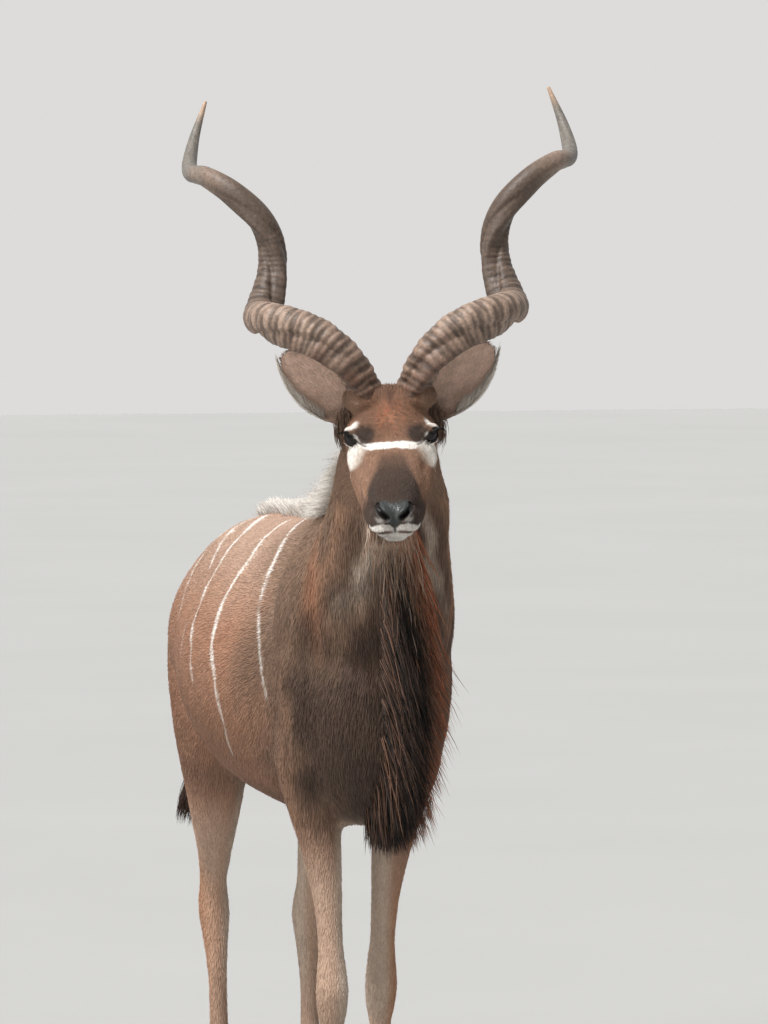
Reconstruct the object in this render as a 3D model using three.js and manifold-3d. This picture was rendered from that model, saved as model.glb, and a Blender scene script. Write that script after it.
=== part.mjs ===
// Greater kudu bull, standing and facing the viewer: a life-size still model.
// Millimetres, +Z up. The animal faces -Y and its right side is -X.
// Shapes are first laid out with the withers at x = 0, y = 0 and the ground at z = 0,
// then moved so that the origin lies on the ground under the middle of the whole animal.
import * as THREE from "three";
import { mergeVertices } from "three/addons/utils/BufferGeometryUtils.js";
import Module from "manifold-3d";

const wasm = await Module();
wasm.setup();
const { Manifold, Mesh } = wasm;

const TAU = Math.PI * 2;
const GAP = 0.3; // between neighbouring pieces
const FAR = 4000; // side of the boxes that cut
const CENTRE_X = 23; // middle of the animal in layout coordinates
const CENTRE_Y = 209;

// Heights of the cuts that part the legs
const LEG_TOP = 740;
const KNEE = 432;
const HOCK = 500;

// The head's own frame: u runs from the poll to the nose, v to the top, w to its left
const HEAD_AT = new THREE.Vector3(-30, -400, 1606);
const HEAD_YAW = -11.3;
const HEAD_PITCH = 26;
const HEAD_ROLL = -2.7;

// Torso sections: y, top, bottom, half width, height of the widest place, how full the top is
const TORSO = [
  [-290, 1110, 925, 54, 1010, 2.0],
  [-262, 1190, 870, 92, 1015, 2.0],
  [-200, 1290, 815, 126, 1020, 2.0],
  [-120, 1372, 782, 150, 1040, 1.85],
  [-20, 1420, 768, 172, 1060, 1.65],
  [80, 1425, 764, 190, 1060, 1.6],
  [200, 1412, 762, 222, 1050, 1.7],
  [350, 1388, 766, 256, 1045, 1.85],
  [520, 1372, 780, 268, 1050, 1.95],
  [680, 1366, 806, 255, 1060, 2.0],
  [820, 1364, 850, 232, 1080, 1.95],
  [940, 1352, 900, 214, 1090, 1.9],
  [1040, 1310, 950, 186, 1085, 2.0],
  [1110, 1246, 990, 146, 1080, 2.0],
  [1152, 1165, 1035, 72, 1095, 2.0],
];

// Neck sections along its middle: x, y, z, half depth, half width
const NECK = [
  [0, 60, 1180, 225, 168],
  [0, -50, 1212, 232, 176],
  [-2, -160, 1268, 208, 154],
  [-8, -248, 1350, 166, 130],
  [-16, -312, 1436, 126, 116],
  [-24, -356, 1516, 98, 104],
  [-29, -385, 1572, 88, 92],
];

// Head sections: u, top, bottom, half width, height of the widest place, fullness
const HEAD = [
  [-8, 58, -70, 44, 5, 2.0],
  [20, 84, -98, 66, 12, 2.1],
  [60, 98, -112, 78, 20, 2.2],
  [100, 92, -114, 85, 22, 2.2],
  [140, 78, -110, 87, 16, 2.2],
  [175, 68, -102, 84, -2, 2.15],
  [210, 61, -94, 80, -14, 2.1],
  [260, 54, -86, 73, -26, 2.1],
  [310, 48, -77, 63, -26, 2.15],
  [350, 43, -70, 55, -22, 2.2],
  [385, 38, -62, 50, -18, 2.3],
  [410, 28, -50, 43, -12, 2.3],
  [424, 13, -32, 28, -10, 2.0],
];

// Leg sections from the top down: z, x outward, y, half length, half width
const FORELEG = [
  [1290, 66, 40, 60, 34],
  [1210, 92, 8, 98, 54],
  [1120, 112, -22, 116, 60],
  [1010, 116, -24, 116, 60],
  [920, 114, 2, 104, 60],
  [840, 106, 18, 84, 58],
  [770, 92, 16, 64, 52],
  [700, 82, 8, 50, 43],
  [620, 74, 0, 38, 33],
  [540, 70, -6, 31, 28],
  [478, 68, -10, 33, 32],
  [440, 68, -13, 36, 35],
  [398, 68, -10, 32, 32],
  [350, 68, -6, 25, 24],
  [260, 68, -4, 23, 21],
  [190, 68, -4, 25, 23],
  [150, 68, -2, 31, 29],
  [118, 68, -12, 27, 27],
  [86, 68, -28, 27, 29],
  [52, 68, -42, 36, 35],
  [20, 68, -50, 38, 36],
];
const HINDLEG = [
  [1200, 108, 950, 130, 78],
  [1110, 116, 955, 168, 92],
  [1010, 122, 945, 172, 92],
  [920, 124, 928, 158, 86],
  [840, 121, 922, 134, 76],
  [760, 115, 942, 108, 64],
  [690, 109, 972, 84, 52],
  [620, 102, 1012, 58, 40],
  [560, 97, 1042, 43, 32],
  [515, 93, 1060, 45, 33],
  [478, 91, 1062, 42, 34],
  [430, 90, 1052, 32, 29],
  [370, 89, 1042, 26, 24],
  [270, 88, 1032, 24, 22],
  [200, 88, 1026, 26, 24],
  [156, 88, 1022, 32, 29],
  [120, 88, 1006, 27, 27],
  [86, 88, 988, 27, 29],
  [52, 88, 972, 36, 35],
  [20, 88, 964, 38, 36],
];
// How far each foot stands out and back from its table: the right forefoot is ahead
const STANCE = {
  fore_right: { sign: -1, out: 4, back: -35 },
  fore_left: { sign: 1, out: -14, back: 85 },
  hind_right: { sign: -1, out: 4, back: 0 },
  hind_left: { sign: 1, out: 4, back: -80 },
};

// Horn middle line in the head's frame: w outward, u backward, v up
const HORN = [
  [40, -62, 66],
  [51, -52, 108],
  [81, -43, 162],
  [130, -24, 205],
  [182, 2, 219],
  [229, 50, 209],
  [248, 120, 178],
  [244, 190, 164],
  [223, 262, 200],
  [223, 300, 252],
  [247, 320, 302],
  [297, 352, 342],
  [347, 402, 352],
  [380, 485, 324],
  [374, 585, 336],
  [346, 654, 395],
];
const HORN_AXIS_FROM = [126, -62, 119]; // the line that the horn winds round
const HORN_AXIS_ALONG = [0.327, 0.876, 0.354];
const HORN_THICK = [34, 35, 36, 36, 36, 35, 34, 33, 31, 29, 27, 24, 21, 17, 12, 3.5];
const HORN_RINGS = 43;
const HORN_SIDES = 10;
const KEEL_HEIGHT = 0.32; // part of the radius
const KEEL_TURN = 2.0; // radians from the outward direction towards the front
const RIDGE_DEPTH = 1.6;
const RIDGE_STEPS = 2.6; // rings between two ridges
const HORN_FOOT = 78; // height v of the flat foot of the horn, inside the skin

// Ears in the head's frame
const EAR_BASE = [60, 28, 15]; // w, u, v
const EAR_TIP = [202, -12, 150];
const EAR_FACING = [0.25, 0.85, 0.3]; // w, u, v of the way the cup opens
const EAR_WIDTHS = [26, 34, 48, 56, 57, 52, 41, 19];
const EAR_CUPS = [30, 30, 28, 23, 18, 13, 9, 5];
const EAR_THICK = 9;
const EAR_CUT = 0.17; // part of the length that stays on the head

// Eyes in the head's frame
const EYE = [67, 141, 44]; // w, u, v
const EYE_RADIUS = 20;
const LID_RADIUS = 4.5;

// Tail middle line: x, y, z, radius
const TAIL = [
  [0, 1085, 1225, 40],
  [0, 1135, 1205, 34],
  [-8, 1172, 1140, 26],
  [-26, 1182, 1040, 21],
  [-56, 1180, 940, 18],
  [-92, 1172, 850, 17],
  [-122, 1164, 770, 10],
];

// Long hair: the dense core goes half way to the tips, and locks cover it
const CORE_SHARE = 0.5;
const BEARD_ROWS = 17;
const CREST_ROWS = 24;
const TUFT_LOCKS = 10;
const TUFT_TIP = 665; // height of the lowest hair of the tail

const COLOURS = {
  coat: 0x9c7358,
  neck: 0x7c6654,
  face: 0x5e4636,
  lowerLeg: 0xb07c54,
  hoof: 0x2b2522,
  horn: 0x6d5f52,
  eye: 0x120d0a,
};

// Repeatable random numbers from 0 to 1
function randomFrom(seed) {
  let state = seed;
  return () => {
    state = (state * 1664525 + 1013904223) % 4294967296;
    return state / 4294967296;
  };
}

// A smooth row of the table between row i and row i + 1
function blendRow(rows, place) {
  const last = rows.length - 1;
  const i = Math.min(Math.floor(place), last - 1);
  const t = place - i;
  const a = rows[Math.max(i - 1, 0)];
  const b = rows[i];
  const c = rows[i + 1];
  const d = rows[Math.min(i + 2, last)];
  return b.map((p, k) => {
    const slopeB = (c[k] - a[k]) / 2;
    const slopeC = (d[k] - b[k]) / 2;
    const rise = c[k] - p;
    const square = 3 * rise - 2 * slopeB - slopeC;
    const cube = slopeB + slopeC - 2 * rise;
    return p + t * (slopeB + t * (square + t * cube));
  });
}

function smoothRows(rows, count) {
  const made = [];
  for (let i = 0; i < count; i++) {
    made.push(blendRow(rows, (i * (rows.length - 1)) / (count - 1)));
  }
  return made;
}

// Distance from the middle of a rounded box with the given fullness
function fullRadius(angle, fullness) {
  const c = Math.abs(Math.cos(angle)) ** fullness;
  const s = Math.abs(Math.sin(angle)) ** fullness;
  return (c + s) ** (-1 / fullness);
}

// A closed surface through rings of the same number of points, with a fan at each end
function loft(rings) {
  const sides = rings[0].length;
  const points = [];
  rings.forEach((ring) => ring.forEach((p) => points.push(p.x, p.y, p.z)));
  const faces = [];
  for (let r = 0; r + 1 < rings.length; r++) {
    for (let i = 0; i < sides; i++) {
      const a = r * sides + i;
      const b = r * sides + ((i + 1) % sides);
      faces.push(a, b, b + sides, a, b + sides, a + sides);
    }
  }
  [0, rings.length - 1].forEach((r) => {
    const middle = new THREE.Vector3();
    rings[r].forEach((p) => middle.add(p));
    middle.divideScalar(sides);
    const at = points.length / 3;
    points.push(middle.x, middle.y, middle.z);
    for (let i = 0; i < sides; i++) {
      const a = r * sides + i;
      const b = r * sides + ((i + 1) % sides);
      if (r === 0) faces.push(b, a, at);
      else faces.push(a, b, at);
    }
  });
  const geometry = new THREE.BufferGeometry();
  geometry.setAttribute("position", new THREE.Float32BufferAttribute(points, 3));
  geometry.setIndex(faces);
  return geometry;
}

// A geometry as a solid, turned right side out
function solid(geometry) {
  geometry.deleteAttribute("normal");
  geometry.deleteAttribute("uv");
  const merged = mergeVertices(geometry, 1e-4);
  const triVerts = new Uint32Array(merged.index.array);
  const vertProperties = new Float32Array(merged.attributes.position.array);
  const made = new Manifold(new Mesh({ numProp: 3, vertProperties, triVerts }));
  if (made.volume() > 0) return made;
  for (let i = 0; i < triVerts.length; i += 3) {
    [triVerts[i], triVerts[i + 1]] = [triVerts[i + 1], triVerts[i]];
  }
  return new Manifold(new Mesh({ numProp: 3, vertProperties, triVerts }));
}

function join(solids) {
  return solids.reduce((all, one) => all.add(one));
}

function largest(shape) {
  const bodies = shape.decompose();
  return bodies.reduce((a, b) => (b.volume() > a.volume() ? b : a));
}

// A huge box on the far side of a plane, used to cut
function halfSpace(point, normal) {
  const along = normal.clone().normalize();
  const box = new THREE.BoxGeometry(FAR, FAR, FAR);
  box.translate(0, 0, FAR / 2);
  const up = new THREE.Vector3(0, 0, 1);
  box.applyQuaternion(new THREE.Quaternion().setFromUnitVectors(up, along));
  box.translate(point.x, point.y, point.z);
  return solid(box);
}

function boxSolid(low, high) {
  const size = high.clone().sub(low);
  const middle = high.clone().add(low).multiplyScalar(0.5);
  const box = new THREE.BoxGeometry(size.x, size.y, size.z);
  box.translate(middle.x, middle.y, middle.z);
  return solid(box);
}

// Both sides of a plane, with the gap between them
function part(shape, point, normal) {
  const step = normal.clone().normalize().multiplyScalar(GAP / 2);
  const ahead = shape.intersect(halfSpace(point.clone().add(step), normal));
  const back = normal.clone().negate();
  const behind = shape.intersect(halfSpace(point.clone().sub(step), back));
  return [ahead, behind];
}

// Head frame to layout coordinates
const headTurn = new THREE.Matrix4()
  .makeRotationZ(THREE.MathUtils.degToRad(HEAD_YAW))
  .multiply(new THREE.Matrix4().makeRotationX(THREE.MathUtils.degToRad(HEAD_PITCH)))
  .multiply(new THREE.Matrix4().makeRotationY(THREE.MathUtils.degToRad(HEAD_ROLL)));

function headVector(w, u, v) {
  return new THREE.Vector3(w, -u, v).applyMatrix4(headTurn);
}

function headPoint(w, u, v) {
  return headVector(w, u, v).add(HEAD_AT);
}

// Torso, neck and head
function torsoRing(row, sides) {
  const [y, top, bottom, half, wide, fullness] = row;
  const ring = [];
  for (let i = 0; i < sides; i++) {
    const angle = (TAU * (i + 0.5)) / sides;
    const upper = Math.sin(angle) > 0;
    const r = fullRadius(angle, upper ? fullness : 2.1);
    const tall = upper ? top - wide : wide - bottom;
    ring.push(
      new THREE.Vector3(
        half * r * Math.cos(angle),
        y,
        wide + tall * r * Math.sin(angle),
      ),
    );
  }
  return ring;
}

function torsoSolid() {
  const rows = smoothRows(TORSO, 24);
  return solid(loft(rows.map((row) => torsoRing(row, 22))));
}

// A ring square to the middle line that runs through the given rows
function bentRing(rows, i, sides, fullness) {
  const [x, y, z, deep, wide] = rows[i];
  const a = rows[Math.max(i - 1, 0)];
  const b = rows[Math.min(i + 1, rows.length - 1)];
  const along = new THREE.Vector3(b[0] - a[0], b[1] - a[1], b[2] - a[2]).normalize();
  const side = new THREE.Vector3(1, 0, 0).addScaledVector(along, -along.x).normalize();
  const back = new THREE.Vector3().crossVectors(along, side);
  const ring = [];
  for (let k = 0; k < sides; k++) {
    const angle = (TAU * (k + 0.5)) / sides;
    const r = fullRadius(angle, fullness);
    ring.push(
      new THREE.Vector3(x, y, z)
        .addScaledVector(side, wide * r * Math.cos(angle))
        .addScaledVector(back, deep * r * Math.sin(angle)),
    );
  }
  return ring;
}

function neckSolid() {
  const rows = smoothRows(NECK, 12);
  return solid(loft(rows.map((row, i) => bentRing(rows, i, 18, 2.0))));
}

function headRing(row, sides) {
  const [u, top, bottom, half, wide, fullness] = row;
  const ring = [];
  for (let i = 0; i < sides; i++) {
    const angle = (TAU * (i + 0.5)) / sides;
    const upper = Math.sin(angle) > 0;
    const r = fullRadius(angle, fullness);
    const tall = upper ? top - wide : wide - bottom;
    const narrow = upper ? 1 : 1 - 0.22 * Math.abs(Math.sin(angle));
    ring.push(
      headPoint(
        half * narrow * r * Math.cos(angle),
        u,
        wide + tall * r * Math.sin(angle),
      ),
    );
  }
  return ring;
}

function headSolid() {
  const rows = smoothRows(HEAD, 20);
  return solid(loft(rows.map((row) => headRing(row, 20))));
}

// An egg-shaped solid in the head's frame
function headEgg(at, size, detail) {
  const ball = new THREE.SphereGeometry(1, detail, Math.ceil(detail * 0.6));
  ball.scale(size[0], size[1], size[2]);
  ball.translate(at[0], -at[1], at[2]);
  ball.applyMatrix4(headTurn);
  ball.translate(HEAD_AT.x, HEAD_AT.y, HEAD_AT.z);
  return solid(ball);
}

// Brow, lids, nose pad and lips that stand out from the head
function faceForms(sign) {
  const [w, u, v] = EYE;
  return [
    headEgg([sign * (w - 5), u - 1, v + 9.5], [21, 32, 13], 8),
    headEgg([sign * 19, 408, 10], [18, 17, 21], 8),
    headEgg([sign * 20, 396, -6], [26, 31, 12], 8),
  ];
}

function lidBand(sign, upper) {
  const [w, u, v] = EYE;
  const rows = [];
  const steps = 5;
  for (let i = 0; i <= steps; i++) {
    const t = i / steps;
    const swing = Math.PI * (0.02 + 0.96 * t);
    const along = Math.cos(swing) * (EYE_RADIUS - 1);
    const lift = Math.sin(swing) * (upper ? 11 : 8) * (upper ? 1 : -1);
    const out = Math.sqrt(Math.max(EYE_RADIUS ** 2 - along ** 2 - lift ** 2, 0)) + 0.5;
    const thick = LID_RADIUS * (0.55 + 0.45 * Math.sin(Math.PI * t));
    rows.push([sign * (w + out), u + along, v + lift, thick]);
  }
  return solid(loft(tubeRings(rows, 4, headPoint)));
}

// Rings square to a line of points given as a, b, c and radius
function tubeRings(rows, sides, place) {
  const points = rows.map((row) => place(row[0], row[1], row[2]));
  return points.map((p, i) => {
    const before = points[Math.max(i - 1, 0)];
    const after = points[Math.min(i + 1, points.length - 1)];
    const along = after.clone().sub(before).normalize();
    const side = new THREE.Vector3(0.2, 0.1, 1).cross(along).normalize();
    const other = new THREE.Vector3().crossVectors(along, side);
    const ring = [];
    for (let k = 0; k < sides; k++) {
      const angle = (TAU * k) / sides;
      ring.push(
        p
          .clone()
          .addScaledVector(side, rows[i][3] * Math.cos(angle))
          .addScaledVector(other, rows[i][3] * Math.sin(angle)),
      );
    }
    return ring;
  });
}

// A bent wedge that cuts the line of the mouth
function mouthCut(sign) {
  const line = [
    [54, 285, -50],
    [56, 320, -47],
    [51, 352, -42],
    [46, 385, -33],
    [36, 408, -23],
    [20, 424, -15],
    [4, 430, -14],
  ];
  const rows = line.map(([w, u, v]) => [sign * w, u, v, 2.2]);
  return solid(loft(tubeRings(rows, 4, headPoint)));
}

function nostrilCut(sign) {
  const slit = headEgg([sign * 20, 424, 15], [6, 15, 6], 6);
  const tail = headEgg([sign * 30, 414, 21], [8, 13, 5], 6);
  return slit.add(tail);
}

// Legs: sections are level, the foot lies inside the hooves' outline
function legRing(row, stance, share, sides) {
  const [z, x, y, long, wide] = row;
  const middle = stance.sign * (x + stance.out * share);
  const ring = [];
  for (let i = 0; i < sides; i++) {
    const angle = (TAU * (i + 0.5)) / sides;
    const r = fullRadius(angle, 2.1);
    ring.push(
      new THREE.Vector3(
        middle + wide * r * Math.cos(angle),
        y + stance.back * share + long * r * Math.sin(angle),
        z,
      ),
    );
  }
  return ring;
}

// How much of the stance a height has: none at the shoulder or hip, all at the shin
function stanceShare(z, top) {
  const t = THREE.MathUtils.clamp((top - z) / (top * 0.75), 0, 1);
  return t * t * (3 - 2 * t);
}

function legSolid(table, stance) {
  const top = table[0][0];
  const rows = smoothRows(table, 27);
  return solid(
    loft(rows.map((row) => legRing(row, stance, stanceShare(row[0], top), 10))),
  );
}

// Two small dewclaws behind the fetlock
function dewclaw(sign, x, y) {
  const claw = new THREE.SphereGeometry(1, 8, 5);
  claw.scale(9, 12, 15);
  claw.rotateX(0.5);
  claw.translate(x + sign * 14, y, 128);
  return solid(claw);
}

// Hooves: each toe is lofted between a slanting top and the flat ground face
const COVER_SLOPE = 0.34; // the top of the hoof rises forward
const COVER_HEIGHT = 44;
const TOE_GAP = 3;
const HOOF_LENGTH = 104;
const HOOF_WIDTH = 40;

// Outline of one toe from the heel round the outer side to the point and back: side, length
const TOE_OUTLINE = [
  [0, -0.46],
  [0.55, -0.5],
  [0.9, -0.4],
  [1, -0.12],
  [0.92, 0.16],
  [0.66, 0.38],
  [0.26, 0.52],
  [0, 0.5],
  [0, 0.2],
  [0, -0.15],
];

function toeSolid(centreX, heelY, side) {
  const rings = [];
  [0, 0.5, 1].forEach((level) => {
    const grow = 1 - 0.2 * level;
    const ring = TOE_OUTLINE.map(([a, b]) => {
      const x = centreX + side * (TOE_GAP / 2 + a * grow * HOOF_WIDTH);
      const along = b * grow * HOOF_LENGTH;
      const slip = level * 14;
      const y = heelY - along + slip;
      const top = COVER_HEIGHT + COVER_SLOPE * (along - slip) - GAP;
      return new THREE.Vector3(x, y, level * Math.max(top, 10));
    });
    rings.push(ring);
  });
  return solid(loft(rings));
}

function footCutPlane(y) {
  return {
    point: new THREE.Vector3(0, y, COVER_HEIGHT),
    normal: new THREE.Vector3(0, COVER_SLOPE, 1),
  };
}

// Horns
function hornRing(rows, i, count, sign, grow) {
  const place = (i / (count - 1)) * (HORN.length - 1);
  const [w, back, v] = rows[i];
  const a = rows[Math.max(i - 1, 0)];
  const b = rows[Math.min(i + 1, count - 1)];
  const along = new THREE.Vector3(b[0] - a[0], b[1] - a[1], b[2] - a[2]).normalize();
  const centre = new THREE.Vector3(w, back, v);
  const axis = new THREE.Vector3(...HORN_AXIS_ALONG).normalize();
  const from = centre.clone().sub(new THREE.Vector3(...HORN_AXIS_FROM));
  const out = from.addScaledVector(axis, -from.dot(axis));
  out.addScaledVector(along, -out.dot(along)).normalize();
  const side = new THREE.Vector3().crossVectors(along, out);
  const thick = blendRow(HORN_THICK.map((r) => [r]), place)[0];
  const ridge = ridgeHeight(i, count);
  const ring = [];
  for (let k = 0; k < HORN_SIDES; k++) {
    const angle = (TAU * k) / HORN_SIDES;
    const keel = KEEL_HEIGHT * Math.max(Math.cos(angle - KEEL_TURN), 0) ** 5;
    const fade = 1 - place / (HORN.length - 1);
    const r = thick * (0.94 + keel * Math.min(1, fade * 1.6)) + ridge + grow;
    const p = centre
      .clone()
      .addScaledVector(out, r * Math.cos(angle))
      .addScaledVector(side, r * Math.sin(angle));
    ring.push(headPoint(sign * p.x, -p.y, p.z));
  }
  return ring;
}

function ridgeHeight(i, count) {
  const t = i / (count - 1);
  const strength = THREE.MathUtils.clamp((0.72 - t) / 0.3, 0, 1);
  return RIDGE_DEPTH * strength * Math.sin((TAU * i) / RIDGE_STEPS);
}

function hornSolid(sign, grow) {
  const rows = smoothRows(HORN, HORN_RINGS);
  return solid(loft(rows.map((row, i) => hornRing(rows, i, HORN_RINGS, sign, grow))));
}

// The horn above its flat foot, or the hole for it when grown by the gap
function hornAbove(sign, grow) {
  const foot = headPoint(0, 0, HORN_FOOT - grow);
  return hornSolid(sign, grow).intersect(halfSpace(foot, headVector(0, 0, 1)));
}

function pedicleSolid(sign) {
  return headEgg([sign * 50, 62, 84], [44, 43, 31], 8);
}

// Ears: a cupped leaf made of crescent sections
function earRing(sign, t, wide, cup) {
  const base = new THREE.Vector3(...EAR_BASE);
  const tip = new THREE.Vector3(...EAR_TIP);
  const along = tip.clone().sub(base).normalize();
  const facing = new THREE.Vector3(...EAR_FACING);
  facing.addScaledVector(along, -facing.dot(along)).normalize();
  const across = new THREE.Vector3().crossVectors(facing, along);
  const centre = base.lerp(tip, t);
  const ring = [];
  const outer = 7;
  const inner = 5;
  const put = (angle, w, d, sink) => {
    const p = centre
      .clone()
      .addScaledVector(across, w * Math.sin(angle))
      .addScaledVector(facing, -d * Math.cos(angle) + sink);
    ring.push(headPoint(sign * p.x, p.y, p.z));
  };
  const open = 1.75;
  for (let i = 0; i < outer; i++) put(open * ((2 * i) / (outer - 1) - 1), wide, cup, 0);
  const thin = Math.min(EAR_THICK, wide * 0.5);
  for (let i = 0; i < inner; i++) {
    const angle = open * (1 - (2 * i) / (inner - 1)) * 0.86;
    put(angle, wide - thin * 0.75, Math.max(cup - thin, 0.6), 0);
  }
  return ring;
}

function earSolid(sign) {
  const count = 9;
  const rings = [];
  for (let i = 0; i < count; i++) {
    const t = i / (count - 1);
    const place = t * (EAR_WIDTHS.length - 1);
    const wide = blendRow(EAR_WIDTHS.map((r) => [r]), place)[0];
    const cup = blendRow(EAR_CUPS.map((r) => [r]), place)[0];
    rings.push(earRing(sign, t, wide, cup));
  }
  return solid(loft(rings));
}

function earParts(sign) {
  const base = new THREE.Vector3(...EAR_BASE);
  const tip = new THREE.Vector3(...EAR_TIP);
  const along = tip.clone().sub(base);
  const at = base.clone().lerp(tip, EAR_CUT);
  const point = headPoint(sign * at.x, at.y, at.z);
  const normal = headVector(sign * along.x, along.y, along.z);
  return part(earSolid(sign), point, normal);
}

// Plain outer forms of the long hair, out to its tips
function tailSolid() {
  const rows = smoothRows(TAIL, 10);
  return solid(loft(tubeRings(rows, 6, (x, y, z) => new THREE.Vector3(x, y, z))));
}

// One flat lock of hair, tapered and bent, from a root inside the skin
const LOCK_SHAPE = [
  // share of the length, of the width, of the thickness
  [0, 0.7, 1],
  [0.3, 1, 0.9],
  [0.6, 0.8, 0.65],
  [0.84, 0.45, 0.4],
  [1, 0.06, 0.12],
];

function lockSolid(root, way, side, size, bend) {
  const flat = new THREE.Vector3().crossVectors(way, side).normalize();
  const rings = LOCK_SHAPE.map(([t, wide, thick]) => {
    const centre = root
      .clone()
      .addScaledVector(way, size.long * t)
      .addScaledVector(bend, size.long * t * t);
    const out = side.clone().multiplyScalar((size.wide * wide) / 2);
    const up = flat.clone().multiplyScalar((size.thick * thick) / 2);
    return [centre.clone().add(out), centre.clone().add(up), centre.clone().sub(out)];
  });
  return solid(loft(rings));
}

// Root line of the beard from chin to chest: x, y, z, length, sideways sweep
const BEARD_LINE = [
  [-96, -668, 1412, 45, 0.05],
  [-80, -575, 1448, 90, 0.1],
  [-57, -480, 1468, 150, 0.16],
  [-34, -425, 1400, 190, 0.26],
  [-20, -385, 1295, 215, 0.36],
  [-8, -325, 1172, 220, 0.44],
  [0, -275, 1060, 215, 0.42],
  [0, -258, 960, 200, 0.34],
  [0, -228, 880, 150, 0.22],
  [0, -170, 822, 80, 0.1],
];

// Where the hair of a row points
function beardWay(row) {
  const t = THREE.MathUtils.clamp((1500 - row[2]) / 600, 0, 1);
  return new THREE.Vector3(row[4], -0.16 - 0.2 * Math.sin(Math.PI * t), -1).normalize();
}

function beardFrame(rows, i) {
  const a = rows[Math.max(i - 1, 0)];
  const b = rows[Math.min(i + 1, rows.length - 1)];
  const line = new THREE.Vector3(b[0] - a[0], b[1] - a[1], b[2] - a[2]).normalize();
  const root = new THREE.Vector3(rows[i][0], rows[i][1], rows[i][2]);
  const way = beardWay(rows[i]);
  const side = new THREE.Vector3().crossVectors(line, way).normalize();
  return { root, way, side, line };
}

// The dense middle of the beard, half as long as its hair
function beardCore() {
  const rows = smoothRows(BEARD_LINE, 11);
  const spots = [
    [1, 34],
    [0.5, 26],
    [0, 8],
    [0, -8],
    [0.5, -26],
    [1, -34],
  ];
  const rings = rows.map((row, i) => {
    const { root, way, side } = beardFrame(rows, i);
    return spots.map(([up, out]) =>
      root
        .clone()
        .addScaledVector(way, (1 - up) * row[3] * CORE_SHARE)
        .addScaledVector(side, out),
    );
  });
  return solid(loft(rings));
}

function beardLocks() {
  const random = randomFrom(7);
  const rows = smoothRows(BEARD_LINE, BEARD_ROWS);
  const locks = [];
  rows.forEach((row, i) => {
    if (row[3] < 40) return;
    const { root, way, side, line } = beardFrame(rows, i);
    const flanks = i % 2 ? [-1, 1] : [-1, 0, 1];
    flanks.forEach((flank) => {
      const down = (flank === 0 ? 0.3 : 0.08) + 0.2 * random();
      const from = root
        .clone()
        .addScaledVector(way, row[3] * down)
        .addScaledVector(side, flank * (22 - 26 * down))
        .addScaledVector(line, 14 * (random() - 0.5));
      const lean = way
        .clone()
        .addScaledVector(side, 0.1 * flank)
        .addScaledVector(line, 0.3 * (random() - 0.5))
        .normalize();
      const across = line.clone().addScaledVector(lean, -line.dot(lean)).normalize();
      const long = row[3] * (1.02 - down) * (0.88 + 0.22 * random());
      const size = { long, wide: 34 + 14 * random(), thick: 13 };
      const bend = new THREE.Vector3(0.1 * (random() - 0.3), 0.1 * random(), -0.06);
      locks.push(lockSolid(from, lean, across, size, bend));
    });
  });
  return locks;
}

// Root line of the crest from nape to back: x, y, z, height of the hair above it
const CREST_LINE = [
  [-27, -340, 1606, 40],
  [-18, -262, 1540, 56],
  [-8, -160, 1466, 56],
  [0, -40, 1414, 68],
  [0, 90, 1425, 84],
  [0, 220, 1408, 72],
  [0, 360, 1388, 52],
  [0, 520, 1372, 46],
  [0, 700, 1364, 44],
  [0, 860, 1360, 40],
  [0, 950, 1346, 24],
];

function crestCore() {
  const rings = smoothRows(CREST_LINE, 11).map(([x, y, z, tall]) => [
    new THREE.Vector3(x - 15, y, z - 30),
    new THREE.Vector3(x + 15, y, z - 30),
    new THREE.Vector3(x, y + 8, z + tall * CORE_SHARE),
  ]);
  return solid(loft(rings));
}

function crestLocks() {
  const random = randomFrom(23);
  const rows = smoothRows(CREST_LINE, CREST_ROWS);
  return rows.slice(1).map(([x, y, z, tall], i) => {
    const flank = i % 2 ? 1 : -1;
    const root = new THREE.Vector3(x + flank * 6, y - 20, z - 18);
    const lean = new THREE.Vector3(flank * (0.06 + 0.12 * random()), 0.62, 1).normalize();
    const line = new THREE.Vector3(0, 1, 0);
    const across = line.addScaledVector(lean, -lean.y).normalize();
    const long = (tall + 26) * (1.02 + 0.2 * random());
    const size = { long, wide: 76 + 14 * random(), thick: 12 };
    const bend = new THREE.Vector3(0, 0.3 + 0.1 * random(), -0.14);
    return lockSolid(root, lean, across, size, bend);
  });
}

function tuftLocks() {
  const random = randomFrom(41);
  const locks = [];
  for (let i = 0; i < TUFT_LOCKS; i++) {
    const t = i / (TUFT_LOCKS - 1);
    const angle = i * 2.4; // the golden angle spreads the locks evenly
    const out = new THREE.Vector3(Math.cos(angle), Math.sin(angle), 0);
    const root = new THREE.Vector3(-84 - 36 * t, 1172 - 10 * t, 880 - 100 * t);
    root.addScaledVector(out, 5);
    const way = new THREE.Vector3(-0.2, -0.02, -1).addScaledVector(out, 0.2).normalize();
    const side = new THREE.Vector3().crossVectors(way, out).normalize();
    const long = (root.z - TUFT_TIP) * (0.74 + 0.26 * random());
    const size = { long, wide: 38 + 10 * random(), thick: 13 };
    locks.push(lockSolid(root, way, side, size, out.multiplyScalar(-0.14)));
  }
  return locks;
}

// The whole skin before it is parted
function wholeAnimal() {
  let head = headSolid();
  [-1, 1].forEach((sign) => {
    head = join([head, ...faceForms(sign), pedicleSolid(sign)]);
    head = join([head, lidBand(sign, true), lidBand(sign, false)]);
  });
  const legs = Object.entries(STANCE).map(([name, stance]) =>
    legSolid(name.startsWith("fore") ? FORELEG : HINDLEG, stance),
  );
  const hair = [beardCore(), crestCore(), ...beardLocks(), ...crestLocks()];
  return join([torsoSolid(), neckSolid(), head, ...hair, ...legs]);
}

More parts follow.
